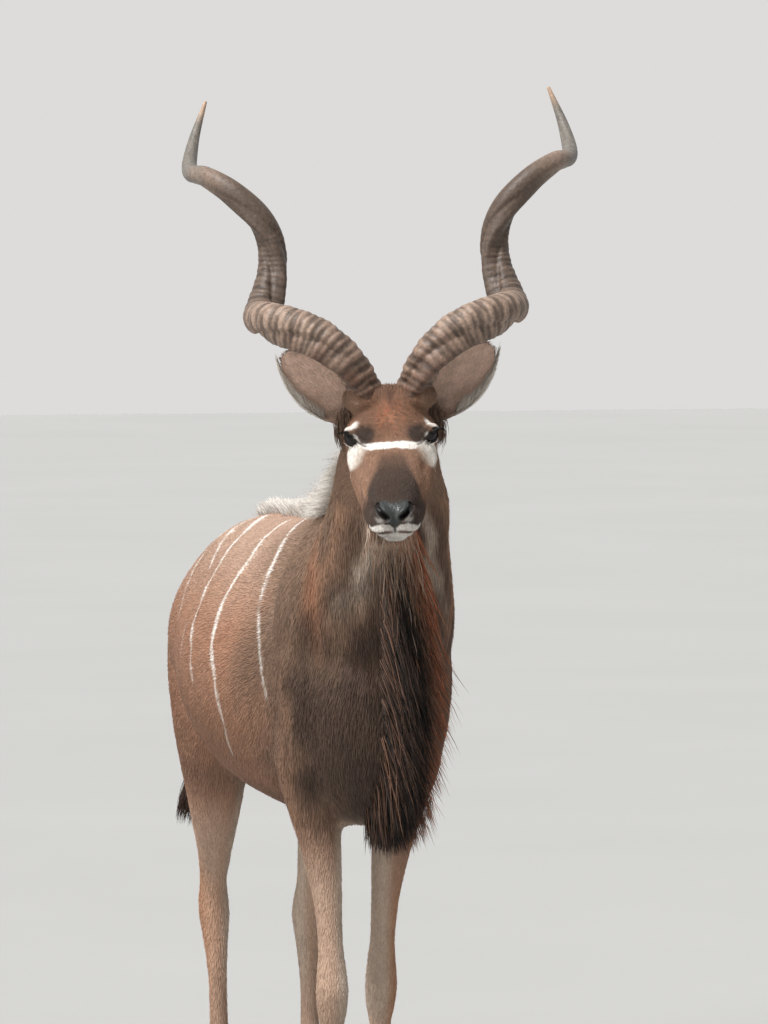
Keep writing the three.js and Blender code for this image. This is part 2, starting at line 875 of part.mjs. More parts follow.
const FORE_FOOT = { x: 68, y: -46, joint: KNEE };
const HIND_FOOT = { x: 88, y: 968, joint: HOCK };
const HEEL_BACK = 52; // from the foot's middle to the dewclaws

const nodes = [];

function keep(name, shape, colour, roughness = 0.85) {
  nodes.push({ name, shape: largest(shape), colour, roughness });
}

function legRegion(x, y) {
  const reach = new THREE.Vector3(110, 330, 0);
  const low = new THREE.Vector3(x, y, -50).sub(reach);
  const high = new THREE.Vector3(x, y, LEG_TOP - GAP).add(reach);
  if (x < 0) high.x = -1;
  else low.x = 1;
  return boxSolid(low, high);
}

function partLegs(rest) {
  Object.entries(STANCE).forEach(([name, stance]) => {
    const foot = name.startsWith("fore") ? FORE_FOOT : HIND_FOOT;
    const x = stance.sign * (foot.x + stance.out);
    const y = foot.y + stance.back;
    const leg = largest(rest.intersect(legRegion(x, y)));
    const down = new THREE.Vector3(0, 0, -1);
    const [low, high] = part(leg, new THREE.Vector3(x, y, foot.joint), down);
    const cut = footCutPlane(y);
    const shin = largest(low.intersect(halfSpace(cut.point, cut.normal)));
    const claws = [-1, 1].map((side) => dewclaw(side, x, y + HEEL_BACK));
    keep(name + "_upper_leg", high, COLOURS.coat);
    keep(name + "_lower_leg", join([shin, ...claws]), COLOURS.lowerLeg);
    [-1, 1].forEach((side) => {
      const which = side === stance.sign ? "outer" : "inner";
      keep(name + "_hoof_" + which, toeSolid(x, y, side), COLOURS.hoof, 0.5);
    });
  });
}

function buildAnimal() {
  let whole = wholeAnimal();
  [-1, 1].forEach((sign) => {
    const name = sign < 0 ? "right" : "left";
    const [outer, stub] = earParts(sign);
    const ear = largest(outer);
    whole = whole.add(largest(stub));
    const [w, u, v] = EYE;
    const socket = EYE_RADIUS + GAP;
    whole = whole.subtract(headEgg([sign * w, u, v], [socket, socket, socket], 12));
    whole = whole.subtract(nostrilCut(sign)).subtract(mouthCut(sign));
    whole = whole.subtract(hornAbove(sign, GAP));
    keep("ear_" + name, ear.subtract(whole), COLOURS.face);
    keep("horn_" + name, hornAbove(sign, 0), COLOURS.horn, 0.55);
    const ball = headEgg([sign * w, u, v], [EYE_RADIUS, EYE_RADIUS, EYE_RADIUS], 12);
    keep("eye_" + name, ball, COLOURS.eye, 0.08);
  });
  return whole;
}

function partFlesh(whole) {
  const headCut = new THREE.Vector3(-28, -372, 1560);
  const headNormal = new THREE.Vector3(0, -0.8, 0.6);
  const neckCut = new THREE.Vector3(0, -150, 1262);
  const neckNormal = new THREE.Vector3(0, -0.72, 0.69);
  const [head, afterHead] = part(largest(whole), headCut, headNormal);
  const [neck, body] = part(afterHead, neckCut, neckNormal);
  const ground = new THREE.Vector3(0, 0, LEG_TOP);
  const torso = body.intersect(halfSpace(ground, new THREE.Vector3(0, 0, 1)));
  keep("head", head, COLOURS.face);
  keep("neck", neck, COLOURS.neck);
  partLegs(body);
  partTail(torso);
}

function partTail(torso) {
  const whole = join([torso, tailSolid(), ...tuftLocks()]);
  const root = new THREE.Vector3(0, 1163, 1160);
  const [tail, body] = part(whole, root, new THREE.Vector3(0, 1, -0.35));
  keep("torso", body, COLOURS.coat);
  keep("tail", tail, COLOURS.coat);
}

function meshOf({ name, shape, colour, roughness }) {
  const made = shape.getMesh();
  const geometry = new THREE.BufferGeometry();
  const count = made.numVert;
  const points = new Float32Array(count * 3);
  for (let i = 0; i < count; i++) {
    for (let k = 0; k < 3; k++) {
      points[i * 3 + k] = made.vertProperties[i * made.numProp + k];
    }
  }
  geometry.setAttribute("position", new THREE.BufferAttribute(points, 3));
  geometry.setIndex(new THREE.BufferAttribute(made.triVerts, 1));
  const material = new THREE.MeshStandardMaterial({ color: colour, roughness });
  const mesh = new THREE.Mesh(geometry, material);
  mesh.name = name;
  return mesh;
}

partFlesh(buildAnimal());
const animal = new THREE.Group();
nodes.forEach((node) => animal.add(meshOf(node)));
animal.position.set(-CENTRE_X, -CENTRE_Y, 0);

export default animal;
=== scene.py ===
"""A greater kudu bull standing still, dressed with skin, horns, eyes, ears, hooves and coat.

Tables are in millimetres in the layout of the part's source: the withers are at x = 0, y = 0
and the ground is at z = 0. The animal faces -Y and its right side is -X.
"""

import math

import bmesh
import bpy
import numpy as np
from mathutils import Matrix, Vector


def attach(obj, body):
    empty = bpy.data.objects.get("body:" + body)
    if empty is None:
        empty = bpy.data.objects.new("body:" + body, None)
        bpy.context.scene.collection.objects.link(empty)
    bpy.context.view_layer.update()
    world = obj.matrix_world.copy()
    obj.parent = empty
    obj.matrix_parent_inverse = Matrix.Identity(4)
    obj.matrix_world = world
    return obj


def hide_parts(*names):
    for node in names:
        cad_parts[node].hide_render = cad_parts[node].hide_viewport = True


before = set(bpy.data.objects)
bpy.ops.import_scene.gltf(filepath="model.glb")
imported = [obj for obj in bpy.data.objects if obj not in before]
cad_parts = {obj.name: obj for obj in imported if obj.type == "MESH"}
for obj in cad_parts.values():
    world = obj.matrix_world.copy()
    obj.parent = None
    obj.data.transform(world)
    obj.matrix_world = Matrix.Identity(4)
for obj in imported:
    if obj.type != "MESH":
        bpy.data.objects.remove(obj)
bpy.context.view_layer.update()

TAU = math.tau
MM = 0.001
BODY = "root"
MIDDLE = np.array([23.0, 209.0, 0.0])  # middle of the animal in the layout
SIDES = {"right": -1, "left": 1}

# The head's own frame: w to its left, u from the poll to the nose, v to the top
HEAD_AT = np.array([-30.0, -400.0, 1606.0])
HEAD_YAW = -11.3
HEAD_PITCH = 26.0
HEAD_ROLL = -2.7

# Torso sections: y, top, bottom, half width, height of the widest place, how full the top is
TORSO = [
    [-290, 1110, 925, 54, 1010, 2.0],
    [-262, 1190, 870, 92, 1015, 2.0],
    [-200, 1290, 815, 126, 1020, 2.0],
    [-120, 1372, 782, 150, 1040, 1.85],
    [-20, 1420, 768, 172, 1060, 1.65],
    [80, 1425, 764, 190, 1060, 1.6],
    [200, 1412, 762, 222, 1050, 1.7],
    [350, 1388, 766, 256, 1045, 1.85],
    [520, 1372, 780, 268, 1050, 1.95],
    [680, 1366, 806, 255, 1060, 2.0],
    [820, 1364, 850, 232, 1080, 1.95],
    [940, 1352, 900, 214, 1090, 1.9],
    [1040, 1310, 950, 186, 1085, 2.0],
    [1110, 1246, 990, 146, 1080, 2.0],
    [1152, 1165, 1035, 72, 1095, 2.0],
]

# Neck sections along its middle: x, y, z, half depth, half width
NECK = [
    [0, 60, 1180, 225, 168],
    [0, -50, 1212, 232, 176],
    [-2, -160, 1268, 208, 154],
    [-8, -248, 1350, 166, 130],
    [-16, -312, 1436, 126, 116],
    [-24, -356, 1516, 98, 104],
    [-29, -385, 1572, 88, 92],
]

# Head sections: u, top, bottom, half width, height of the widest place, fullness
HEAD = [
    [-8, 58, -70, 44, 5, 2.0],
    [20, 84, -98, 66, 12, 2.1],
    [60, 98, -112, 78, 20, 2.2],
    [100, 92, -114, 85, 22, 2.2],
    [140, 78, -110, 87, 16, 2.2],
    [175, 68, -102, 84, -2, 2.15],
    [210, 61, -94, 80, -14, 2.1],
    [260, 54, -86, 73, -26, 2.1],
    [310, 48, -77, 63, -26, 2.15],
    [350, 43, -70, 55, -22, 2.2],
    [385, 38, -62, 50, -18, 2.3],
    [410, 28, -50, 43, -12, 2.3],
    [424, 13, -32, 28, -10, 2.0],
]

# Leg sections from the top down: z, x outward, y, half length, half width
FORELEG = [
    [1290, 66, 40, 60, 34],
    [1210, 92, 8, 98, 54],
    [1120, 112, -22, 116, 60],
    [1010, 116, -24, 116, 60],
    [920, 114, 2, 104, 60],
    [840, 106, 18, 84, 58],
    [770, 92, 16, 64, 52],
    [700, 82, 8, 50, 43],
    [620, 74, 0, 38, 33],
    [540, 70, -6, 31, 28],
    [478, 68, -10, 33, 32],
    [440, 68, -13, 36, 35],
    [398, 68, -10, 32, 32],
    [350, 68, -6, 25, 24],
    [260, 68, -4, 23, 21],
    [190, 68, -4, 25, 23],
    [150, 68, -2, 31, 29],
    [118, 68, -12, 27, 27],
    [86, 68, -28, 27, 29],
    [52, 68, -42, 36, 35],
    [20, 68, -50, 38, 36],
]
HINDLEG = [
    [1200, 108, 950, 130, 78],
    [1110, 116, 955, 168, 92],
    [1010, 122, 945, 172, 92],
    [920, 124, 928, 158, 86],
    [840, 121, 922, 134, 76],
    [760, 115, 942, 108, 64],
    [690, 109, 972, 84, 52],
    [620, 102, 1012, 58, 40],
    [560, 97, 1042, 43, 32],
    [515, 93, 1060, 45, 33],
    [478, 91, 1062, 42, 34],
    [430, 90, 1052, 32, 29],
    [370, 89, 1042, 26, 24],
    [270, 88, 1032, 24, 22],
    [200, 88, 1026, 26, 24],
    [156, 88, 1022, 32, 29],
    [120, 88, 1006, 27, 27],
    [86, 88, 988, 27, 29],
    [52, 88, 972, 36, 35],
    [20, 88, 964, 38, 36],
]

# Each leg: its side, and how far its foot stands out and back from its table
STANCE = {
    "fore_right": (-1, 4, -35),
    "fore_left": (1, -14, 85),
    "hind_right": (-1, 4, 0),
    "hind_left": (1, 4, -80),
}
FOOT = {"fore": (68, -46), "hind": (88, 968)}  # middle of a foot: x outward, y
HEEL_BACK = 52  # from the foot's middle to the dewclaws
DEWCLAW_OUT = 14
DEWCLAW_HEIGHT = 128

# Horn middle line in the head's frame: w outward, u backward, v up, and its radius
HORN = [
    [40, -62, 66, 34],
    [51, -52, 108, 35],
    [81, -43, 162, 36],
    [130, -24, 205, 36],
    [182, 2, 219, 36],
    [229, 50, 209, 35],
    [248, 120, 178, 34],
    [244, 190, 164, 33],
    [223, 262, 200, 31],
    [223, 300, 252, 29],
    [247, 320, 302, 27],
    [297, 352, 342, 24],
    [347, 402, 352, 21],
    [380, 485, 324, 17],
    [374, 585, 336, 12],
    [346, 654, 395, 3.5],
]
HORN_AXIS_FROM = np.array([126.0, -62.0, 119.0])  # the line that the horn winds round
HORN_AXIS_ALONG = np.array([0.327, 0.876, 0.354])
KEEL_TURN = 2.0  # radians from the outward direction towards the front

# Ears in the head's frame
EAR_BASE = np.array([60.0, 28.0, 15.0])
EAR_TIP = np.array([202.0, -12.0, 150.0])
EAR_FACING = np.array([0.25, 0.85, 0.3])
EAR_WIDTHS = [26, 34, 48, 56, 57, 52, 41, 19]
EAR_CUPS = [30, 30, 28, 23, 18, 13, 9, 5]

# Eyes in the head's frame
EYE = np.array([70.0, 141.0, 44.0])
EYE_RADIUS = 20.0

# Tail middle line: x, y, z, radius
TAIL = [
    [0, 1085, 1225, 40],
    [0, 1135, 1205, 34],
    [-8, 1172, 1140, 26],
    [-26, 1182, 1040, 21],
    [-56, 1180, 940, 18],
    [-92, 1172, 850, 17],
    [-122, 1164, 770, 10],
]

# Root line of the beard from chin to chest: x, y, z, length, sideways sweep
BEARD_LINE = [
    [-96, -668, 1412, 45, 0.05],
    [-80, -575, 1448, 90, 0.1],
    [-57, -480, 1468, 150, 0.16],
    [-34, -425, 1400, 190, 0.26],
    [-20, -385, 1295, 215, 0.36],
    [-8, -325, 1172, 220, 0.44],
    [0, -275, 1060, 215, 0.42],
    [0, -258, 960, 200, 0.34],
    [0, -228, 880, 150, 0.22],
    [0, -170, 822, 80, 0.1],
]

# Root line of the crest from nape to back: x, y, z, height of the hair above it
CREST_LINE = [
    [-27, -340, 1606, 40],
    [-18, -262, 1540, 56],
    [-8, -160, 1466, 56],
    [0, -40, 1414, 68],
    [0, 90, 1425, 84],
    [0, 220, 1408, 72],
    [0, 360, 1388, 52],
    [0, 520, 1372, 46],
    [0, 700, 1364, 44],
    [0, 860, 1360, 40],
    [0, 950, 1346, 24],
]


def to_frame(points):
    """Layout millimetres to metres of the frame."""
    return (np.asarray(points, float) - MIDDLE) * MM


def to_layout(points):
    return np.asarray(points, float) / MM + MIDDLE


def turn_matrix():
    yaw = Matrix.Rotation(math.radians(HEAD_YAW), 3, "Z")
    pitch = Matrix.Rotation(math.radians(HEAD_PITCH), 3, "X")
    roll = Matrix.Rotation(math.radians(HEAD_ROLL), 3, "Y")
    return np.array(yaw @ pitch @ roll)


HEAD_TURN = turn_matrix()
FLIP = np.array([1.0, -1.0, 1.0])


def head_vector(vector):
    return (np.asarray(vector, float) * FLIP) @ HEAD_TURN.T


def from_head(points):
    """Points of the head's frame to the layout."""
    return head_vector(points) + HEAD_AT


def to_head(points):
    return ((np.asarray(points, float) - HEAD_AT) @ HEAD_TURN) * FLIP


def smooth_rows(table, count, start=0.0, end=1.0):
    """Rows of a table blended along a smooth curve."""
    rows = np.array(table, float)
    last = len(rows) - 1
    place = np.linspace(start, end, count) * last
    i = np.clip(place.astype(int), 0, last - 1)
    t = (place - i)[:, None]
    a = rows[np.maximum(i - 1, 0)]
    b = rows[i]
    c = rows[i + 1]
    d = rows[np.minimum(i + 2, last)]
    slope_b = (c - a) / 2
    slope_c = (d - b) / 2
    rise = c - b
    square = 3 * rise - 2 * slope_b - slope_c
    cube = slope_b + slope_c - 2 * rise
    return b + t * (slope_b + t * (square + t * cube))


def unit(vectors):
    vectors = np.asarray(vectors, float)
    length = np.linalg.norm(vectors, axis=-1, keepdims=True)
    return vectors / np.maximum(length, 1e-9)


def step(low, high, value):
    """A smooth step from 0 at low to 1 at high."""
    t = np.clip((value - low) / (high - low), 0, 1)
    return t * t * (3 - 2 * t)


def blob(points, at, size):
    """1 at a place, falling smoothly to 0 over the given sizes."""
    far = ((points - np.array(at, float)) / np.array(size, float)) ** 2
    return np.exp(-far.sum(-1))


def folded(points):
    """Points with the right side laid over the left."""
    return points * [[0, 1, 1]] + np.abs(points) * [[1, 0, 0]]


def value_at(values, place):
    """The value of an evenly spaced list at places from 0 to 1 along it."""
    return np.interp(place, np.linspace(0, 1, len(values)), values)


def columns_at(rows, place):
    return np.stack([value_at(column, place) for column in rows.T], -1)


def full_radius(angle, fullness):
    c = np.abs(np.cos(angle)) ** fullness
    s = np.abs(np.sin(angle)) ** fullness
    return (c + s) ** (-1 / fullness)


def ring_angles(sides):
    return TAU * (np.arange(sides) + 0.5) / sides


def torso_rings(count, sides):
    rows = smooth_rows(TORSO, count)[:, None, :]
    angle = ring_angles(sides)[None, :]
    y, top, bottom, half, wide, fullness = np.moveaxis(rows, -1, 0)
    upper = np.sin(angle) > 0
    r = np.where(upper, full_radius(angle, fullness), full_radius(angle, 2.1))
    tall = np.where(upper, top - wide, wide - bottom)
    x = half * r * np.cos(angle)
    z = wide + tall * r * np.sin(angle)
    return np.stack([x, y + 0 * angle, z], -1)


def line_frames(line):
    """Directions along a line of points, and two directions square to it."""
    along = unit(np.gradient(line, axis=0))
    side = unit(np.array([1.0, 0, 0]) - along * along[:, :1])
    return along, side, np.cross(along, side)


def neck_rings(count, sides):
    rows = smooth_rows(NECK, count)
    _, side, back = line_frames(rows[:, :3])
    angle = ring_angles(sides)
    wide = rows[:, 4, None, None] * np.cos(angle)[None, :, None]
    deep = rows[:, 3, None, None] * np.sin(angle)[None, :, None]
    return rows[:, None, :3] + side[:, None] * wide + back[:, None] * deep


def head_rings(count, sides):
    rows = smooth_rows(HEAD, count)[:, None, :]
    angle = ring_angles(sides)[None, :]
    u, top, bottom, half, wide, fullness = np.moveaxis(rows, -1, 0)
    upper = np.sin(angle) > 0
    r = full_radius(angle, fullness)
    tall = np.where(upper, top - wide, wide - bottom)
    narrow = np.where(upper, 1, 1 - 0.22 * np.abs(np.sin(angle)))
    w = half * narrow * r * np.cos(angle)
    v = wide + tall * r * np.sin(angle)
    return from_head(np.stack([w, u + 0 * angle, v], -1))


def stance_share(z, top):
    """How much of the stance a height has: none at the shoulder or hip, all at the shin."""
    return step(0, top * 0.75, top - z)


def leg_rings(name, count, sides):
    table = FORELEG if name.startswith("fore") else HINDLEG
    sign, out, back = STANCE[name]
    rows = smooth_rows(table, count)
    share = stance_share(rows[:, 0], table[0][0])
    angle = ring_angles(sides)[None, :]
    r = full_radius(angle, 2.1)
    x = (sign * (rows[:, 1] + out * share))[:, None] + rows[:, 4, None] * r * np.cos(angle)
    y = (rows[:, 2] + back * share)[:, None] + rows[:, 3, None] * r * np.sin(angle)
    return np.stack([x, y, rows[:, :1] + 0 * angle], -1)


def tube_rings(rows, sides):
    """Round rings along a line of x, y, z and radius."""
    _, side, other = line_frames(rows[:, :3])
    angle = ring_angles(sides)
    out = side[:, None] * np.cos(angle)[None, :, None]
    up = other[:, None] * np.sin(angle)[None, :, None]
    return rows[:, None, :3] + rows[:, 3, None, None] * (out + up)


def egg_rings(at, size, count=14, sides=20):
    """An egg-shaped body of the given half sizes."""
    lift = np.linspace(-0.49, 0.49, count)[:, None] * math.pi
    angle = ring_angles(sides)[None, :]
    x = np.cos(lift) * np.cos(angle)
    y = np.cos(lift) * np.sin(angle)
    z = np.sin(lift) + 0 * angle
    return np.array(at, float) + np.stack([x, y, z], -1) * np.array(size, float)


def loft_faces(count, sides, base=0):
    """Faces of a closed loft, its two ends filled by a fan."""
    r, i = np.meshgrid(np.arange(count - 1), np.arange(sides), indexing="ij")
    a = (r * sides + i).ravel()
    b = (r * sides + (i + 1) % sides).ravel()
    quads = np.stack([a, b, b + sides, a + sides], -1) + base
    i = np.arange(sides)
    j = (i + 1) % sides
    low = np.stack([j, i, i * 0 + count * sides], -1) + base
    top = (count - 1) * sides
    high = np.stack([top + i, top + j, i * 0 + count * sides + 1], -1) + base
    return quads.tolist() + low.tolist() + high.tolist()


def loft_points(rings):
    ends = rings[[0, -1]].mean(1)
    return np.vstack([rings.reshape(-1, 3), ends])


def mesh_from(name, points, faces):
    """A mesh of points in metres."""
    mesh = bpy.data.meshes.new(name)
    mesh.from_pydata(points.tolist(), [], faces)
    mesh.update()
    return mesh


def face_outwards(mesh):
    shape = bmesh.new()
    shape.from_mesh(mesh)
    bmesh.ops.recalc_face_normals(shape, faces=shape.faces)
    shape.to_mesh(mesh)
    shape.free()
    mesh.update()


def object_from(mesh):
    thing = bpy.data.objects.new(mesh.name, mesh)
    bpy.context.scene.collection.objects.link(thing)
    return thing


def lofts_mesh(name, all_rings):
    """One mesh of several closed lofts given in the layout."""
    points = []
    faces = []
    base = 0
    for rings in all_rings:
        count, sides = rings.shape[:2]
        points.append(loft_points(rings))
        faces += loft_faces(count, sides, base)
        base += count * sides + 2
    mesh = mesh_from(name, to_frame(np.vstack(points)), faces)
    face_outwards(mesh)
    return mesh


def settled(thing, name):
    """The object's modifiers made part of a plain mesh; the object itself is removed."""
    view = bpy.context.evaluated_depsgraph_get()
    made = bpy.data.meshes.new_from_object(thing.evaluated_get(view))
    made.name = name
    old = thing.data
    bpy.data.objects.remove(thing)
    bpy.data.meshes.remove(old)
    return made


def mesh_points(mesh):
    points = np.empty(len(mesh.vertices) * 3)
    mesh.vertices.foreach_get("co", points)
    return points.reshape(-1, 3)


def set_mesh_points(mesh, points):
    mesh.vertices.foreach_set("co", np.ascontiguousarray(points, dtype=np.float32).ravel())
    mesh.update()


def mesh_normals(mesh):
    normals = np.empty(len(mesh.vertices) * 3, np.float32)
    mesh.vertex_normals.foreach_get("vector", normals)
    return normals.reshape(-1, 3).astype(float)


def mesh_edges(mesh):
    edges = np.empty(len(mesh.edges) * 2, np.int64)
    mesh.edges.foreach_get("vertices", edges)
    return edges.reshape(-1, 2)


def soften(points, edges, share, rounds):
    """Each point moves towards the middle of its neighbours by its share."""
    count = len(points)
    both = np.concatenate([edges[:, 0], edges[:, 1]])
    other = np.concatenate([edges[:, 1], edges[:, 0]])
    many = np.maximum(np.bincount(both, minlength=count), 1)
    share = np.broadcast_to(share, (count,))[:, None]
    for _ in range(rounds):
        sums = [np.bincount(both, points[other, k], minlength=count) for k in range(3)]
        middle = np.stack(sums, -1) / many[:, None]
        points = points + share * (middle - points)
    return points


def store(mesh, name, values):
    """Writes numbers, vectors or colours at the mesh's points."""
    values = np.asarray(values)
    kinds = {1: ("FLOAT", "value"), 3: ("FLOAT_VECTOR", "vector"), 4: ("FLOAT_COLOR", "color")}
    wide = 1 if values.ndim == 1 else values.shape[1]
    kind, field = kinds[wide]
    attribute = mesh.attributes.get(name) or mesh.attributes.new(name, kind, "POINT")
    flat = np.ascontiguousarray(values, dtype=np.float32).ravel()
    attribute.data.foreach_set(field, flat)


def stored(mesh, name, wide):
    field = {1: "value", 3: "vector", 4: "color"}[wide]
    values = np.empty(len(mesh.vertices) * wide, np.float32)
    mesh.attributes[name].data.foreach_get(field, values)
    return values.reshape(-1, wide).astype(float) if wide > 1 else values.astype(float)


def paint_mesh(mesh, colour):
    store(mesh, "paint", np.hstack([colour, np.ones((len(colour), 1))]))


def smooth(mesh):
    mesh.polygons.foreach_set("use_smooth", np.ones(len(mesh.polygons), bool))
    mesh.update()


def finished(mesh, finish):
    """A smooth object of one material."""
    mesh.materials.append(finish)
    smooth(mesh)
    return object_from(mesh)


# The skin: lofts joined into one surface, softened, then modelled by places and sizes

VOXEL = 4.2 * MM
SKIN_FACES = 186_000  # triangles of the finished skin
SOFTEN_ROUNDS = 60
COAT_DEPTH = 5.0  # mm of the coat's depth on the body

# Muscles, bones and hollows on both sides: x outward, y, z, sizes, height
BODY_FORMS = [
    [150, -10, 1120, 60, 90, 140, 13],
    [120, -205, 1050, 70, 60, 80, 12],
    [165, 60, 900, 60, 50, 60, 8],
    [190, 150, 1020, 60, 38, 150, -9],
    [110, 60, 1330, 60, 110, 50, -7],
    [240, 660, 1230, 70, 90, 75, -16],
    [170, 770, 1330, 60, 50, 40, 13],
    [205, 900, 1120, 60, 110, 130, 8],
    [170, 1060, 1150, 50, 50, 120, -8],
    [180, 800, 900, 60, 50, 70, 10],
    [90, 1090, 1240, 40, 50, 40, 8],
    [95, -150, 1240, 50, 45, 120, -10],
    [70, -300, 1230, 40, 60, 160, 5],
    [86, -330, 1440, 30, 60, 60, 7],
    [60, -210, 1480, 40, 60, 70, -4],
    [118, 1010, 640, 26, 30, 90, -6],
    [100, 1062, 520, 30, 24, 50, 4],
    [100, 1030, 560, 30, 16, 70, -5],
]

# Forms of the face on both sides: w, u, v, sizes, height
FACE_FORMS = [
    [80, 92, 62, 22, 32, 16, -3],
    [60, 143, 66, 20, 26, 12, 4],
    [88, 172, 4, 26, 34, 12, 4],
    [88, 116, 30, 20, 18, 26, 6],
    [92, 62, -12, 30, 44, 56, 12],
    [84, 200, -18, 30, 60, 14, 3],
    [66, 240, 24, 18, 38, 14, -5],
    [80, 130, -62, 22, 60, 34, 5],
    [66, 262, -50, 20, 40, 16, -4],
    [56, 300, 8, 14, 44, 10, -4],
    [54, 345, -30, 22, 36, 14, 4],
    [30, 400, 24, 16, 18, 12, 4],
    [46, 372, 12, 12, 16, 12, -5],
    [0, 300, 52, 15, 70, 16, -1],
    [0, 120, 88, 24, 40, 20, 3],
    [40, 400, -42, 16, 34, 14, -12],
    [0, 404, -58, 44, 40, 14, -7],
    [0, 60, 100, 26, 24, 18, 14],
    [42, 96, 92, 30, 22, 18, 7],
]

MOUTH = [
    [54, 285, -50],
    [56, 320, -47],
    [51, 352, -42],
    [46, 385, -33],
    [36, 408, -23],
    [20, 424, -15],
    [0, 430, -14],
]
NOSTRIL = [[38, 0, 28], [31, 0, 26], [22, 0, 20], [15, 0, 14]]
NOSTRIL_FROM = 384  # the nostrils lie ahead of this u
NOSTRIL_HALF = 5.4


def nostril_gap(side_points):
    """Distance from the nostril's line as seen from ahead."""
    gap, _ = line_distance(side_points * [1, 0, 1], NOSTRIL)
    return gap + 40 * step(NOSTRIL_FROM + 6, NOSTRIL_FROM - 8, side_points[:, 1])


def face_eggs(sign):
    """Rounded forms under the skin: brow, nostril, upper lip and the root of the horn."""
    w, u, v = EYE
    yield [sign * (w - 8), u - 1, v + 9.5], [21, 32, 13]
    yield [sign * 19, 408, 10], [18, 17, 21]
    yield [sign * 20, 396, -6], [26, 31, 12]
    yield [sign * 50, 62, 84], [44, 43, 31]


def ear_frame():
    along = unit(EAR_TIP - EAR_BASE)
    facing = unit(EAR_FACING - along * (EAR_FACING @ along))
    return along, facing, np.cross(facing, along)


def ear_stub(sign):
    """The root of the ear, which the skin wraps."""
    _, facing, across = ear_frame()
    rows = []
    for t, radius in ((-0.02, 26), (0.06, 30), (0.14, 31), (0.2, 27)):
        centre = EAR_BASE + (EAR_TIP - EAR_BASE) * t - facing * 6
        rows.append([*centre, radius])
    rows = smooth_rows(rows, 12)
    angle = ring_angles(20)
    out = across * np.cos(angle)[:, None] + facing * np.sin(angle)[:, None] * 0.9
    rings = rows[:, None, :3] + rows[:, 3, None, None] * out[None]
    rings[..., 0] *= sign
    return from_head(rings)


def beard_way(rows):
    t = np.clip((1500 - rows[:, 2]) / 600, 0, 1)
    ahead = -0.16 - 0.2 * np.sin(math.pi * t)
    return unit(np.stack([rows[:, 4], ahead, -np.ones(len(rows))], -1))


def beard_frame(rows):
    line = unit(np.gradient(rows[:, :3], axis=0))
    way = beard_way(rows)
    side = unit(np.cross(line, way))
    return line, way, side


def beard_fold():
    """The fold of skin and dense under-hair that the beard grows on."""
    rows = smooth_rows(BEARD_LINE, 40)
    _, way, side = beard_frame(rows)
    spots = [(1, 32), (0.5, 24), (0.08, 13), (0, 0), (0.08, -13), (0.5, -24), (1, -32)]
    rings = []
    for up, out in spots:
        down = (1 - up) * rows[:, 3, None] * 0.34
        rings.append(rows[:, :3] + way * down + side * out)
    return np.stack(rings, 1)


def crest_fold():
    rows = smooth_rows(CREST_LINE, 50)
    spots = [(-26, -30, 0), (26, -30, 0), (12, 0, 0.2), (0, 2, 0.3), (-12, 0, 0.2)]
    rings = []
    for x, z, share in spots:
        rings.append(rows[:, :3] + np.array([x, 4, z]) + [[0, 0, tall * share] for tall in rows[:, 3]])
    return np.stack(rings, 1)


def body_lofts():
    lofts = [torso_rings(90, 72), neck_rings(60, 64), head_rings(90, 64)]
    lofts += [tube_rings(smooth_rows(TAIL, 40), 16), beard_fold(), crest_fold()]
    lofts += [leg_rings(name, 120, 36) for name in STANCE]
    for sign in SIDES.values():
        lofts.append(ear_stub(sign))
        for at, size in face_eggs(sign):
            lofts.append(from_head(egg_rings(at, size)))
    return lofts


def wrapped_skin():
    """All lofts joined into one even surface."""
    thing = object_from(lofts_mesh("skin_base", body_lofts()))
    wrap = thing.modifiers.new("wrap", "REMESH")
    wrap.mode = "VOXEL"
    wrap.voxel_size = VOXEL
    return settled(thing, "skin_wrap")


def mirrored_form(points, row):
    """A form on both sides: its height at each point."""
    x, y, z, sx, sy, sz, height = row
    return blob(folded(points), [x, y, z], [sx, sy, sz]) * height


def rib_height(points):
    x, y, z = points.T
    band = step(170, 260, y) * step(640, 540, y) * step(820, 900, z) * step(1290, 1200, z)
    wave = np.cos(TAU * (y + 0.42 * (z - 1000)) / 62)
    return 1.3 * band * wave * step(120, 180, np.abs(x))


def skin_noise(points, size, seed):
    """Soft repeatable noise from a few turned waves, about -1 to 1."""
    random = np.random.default_rng(seed)
    total = np.zeros(len(points))
    for _ in range(7):
        way = unit(random.normal(size=3)) * (0.7 + 0.6 * random.random())
        total += np.sin(points @ way * TAU / size + random.random() * TAU)
    return total / 3.0


def neck_folds(points):
    x, y, z = points.T
    neck = step(-420, -330, y) * step(-60, -170, y) * step(1010, 1120, z)
    around = np.arctan2(x, -(y + 250))
    waves = np.sin(around * 17 + 0.6 * skin_noise(points, 260, 3)) * step(0.2, 0.7, np.abs(around))
    return neck * 1.3 * waves


def leg_tendons(points):
    """Grooves between bone and tendon along the shins."""
    x, y, z = points.T
    height = np.zeros(len(points))
    for name, (sign, out, back) in STANCE.items():
        fore = name.startswith("fore")
        middle_x, _ = FOOT["fore" if fore else "hind"]
        middle_y = -4 if fore else 1034
        near = np.abs(x - sign * (middle_x + out)) < 60
        groove = blob(np.stack([(y - middle_y - back - 9)], -1), [0], [6])
        band = step(185, 220, z) * step(400, 350, z)
        height -= near * groove * band * 3.2
    return height


def body_height(points):
    height = sum(mirrored_form(points, row) for row in BODY_FORMS)
    height = height + rib_height(points) + neck_folds(points) + leg_tendons(points)
    return height + 1.2 * skin_noise(points, 190, 5) * step(700, 900, points[:, 2])


def face_height(head_points):
    return sum(mirrored_form(head_points, row) for row in FACE_FORMS)


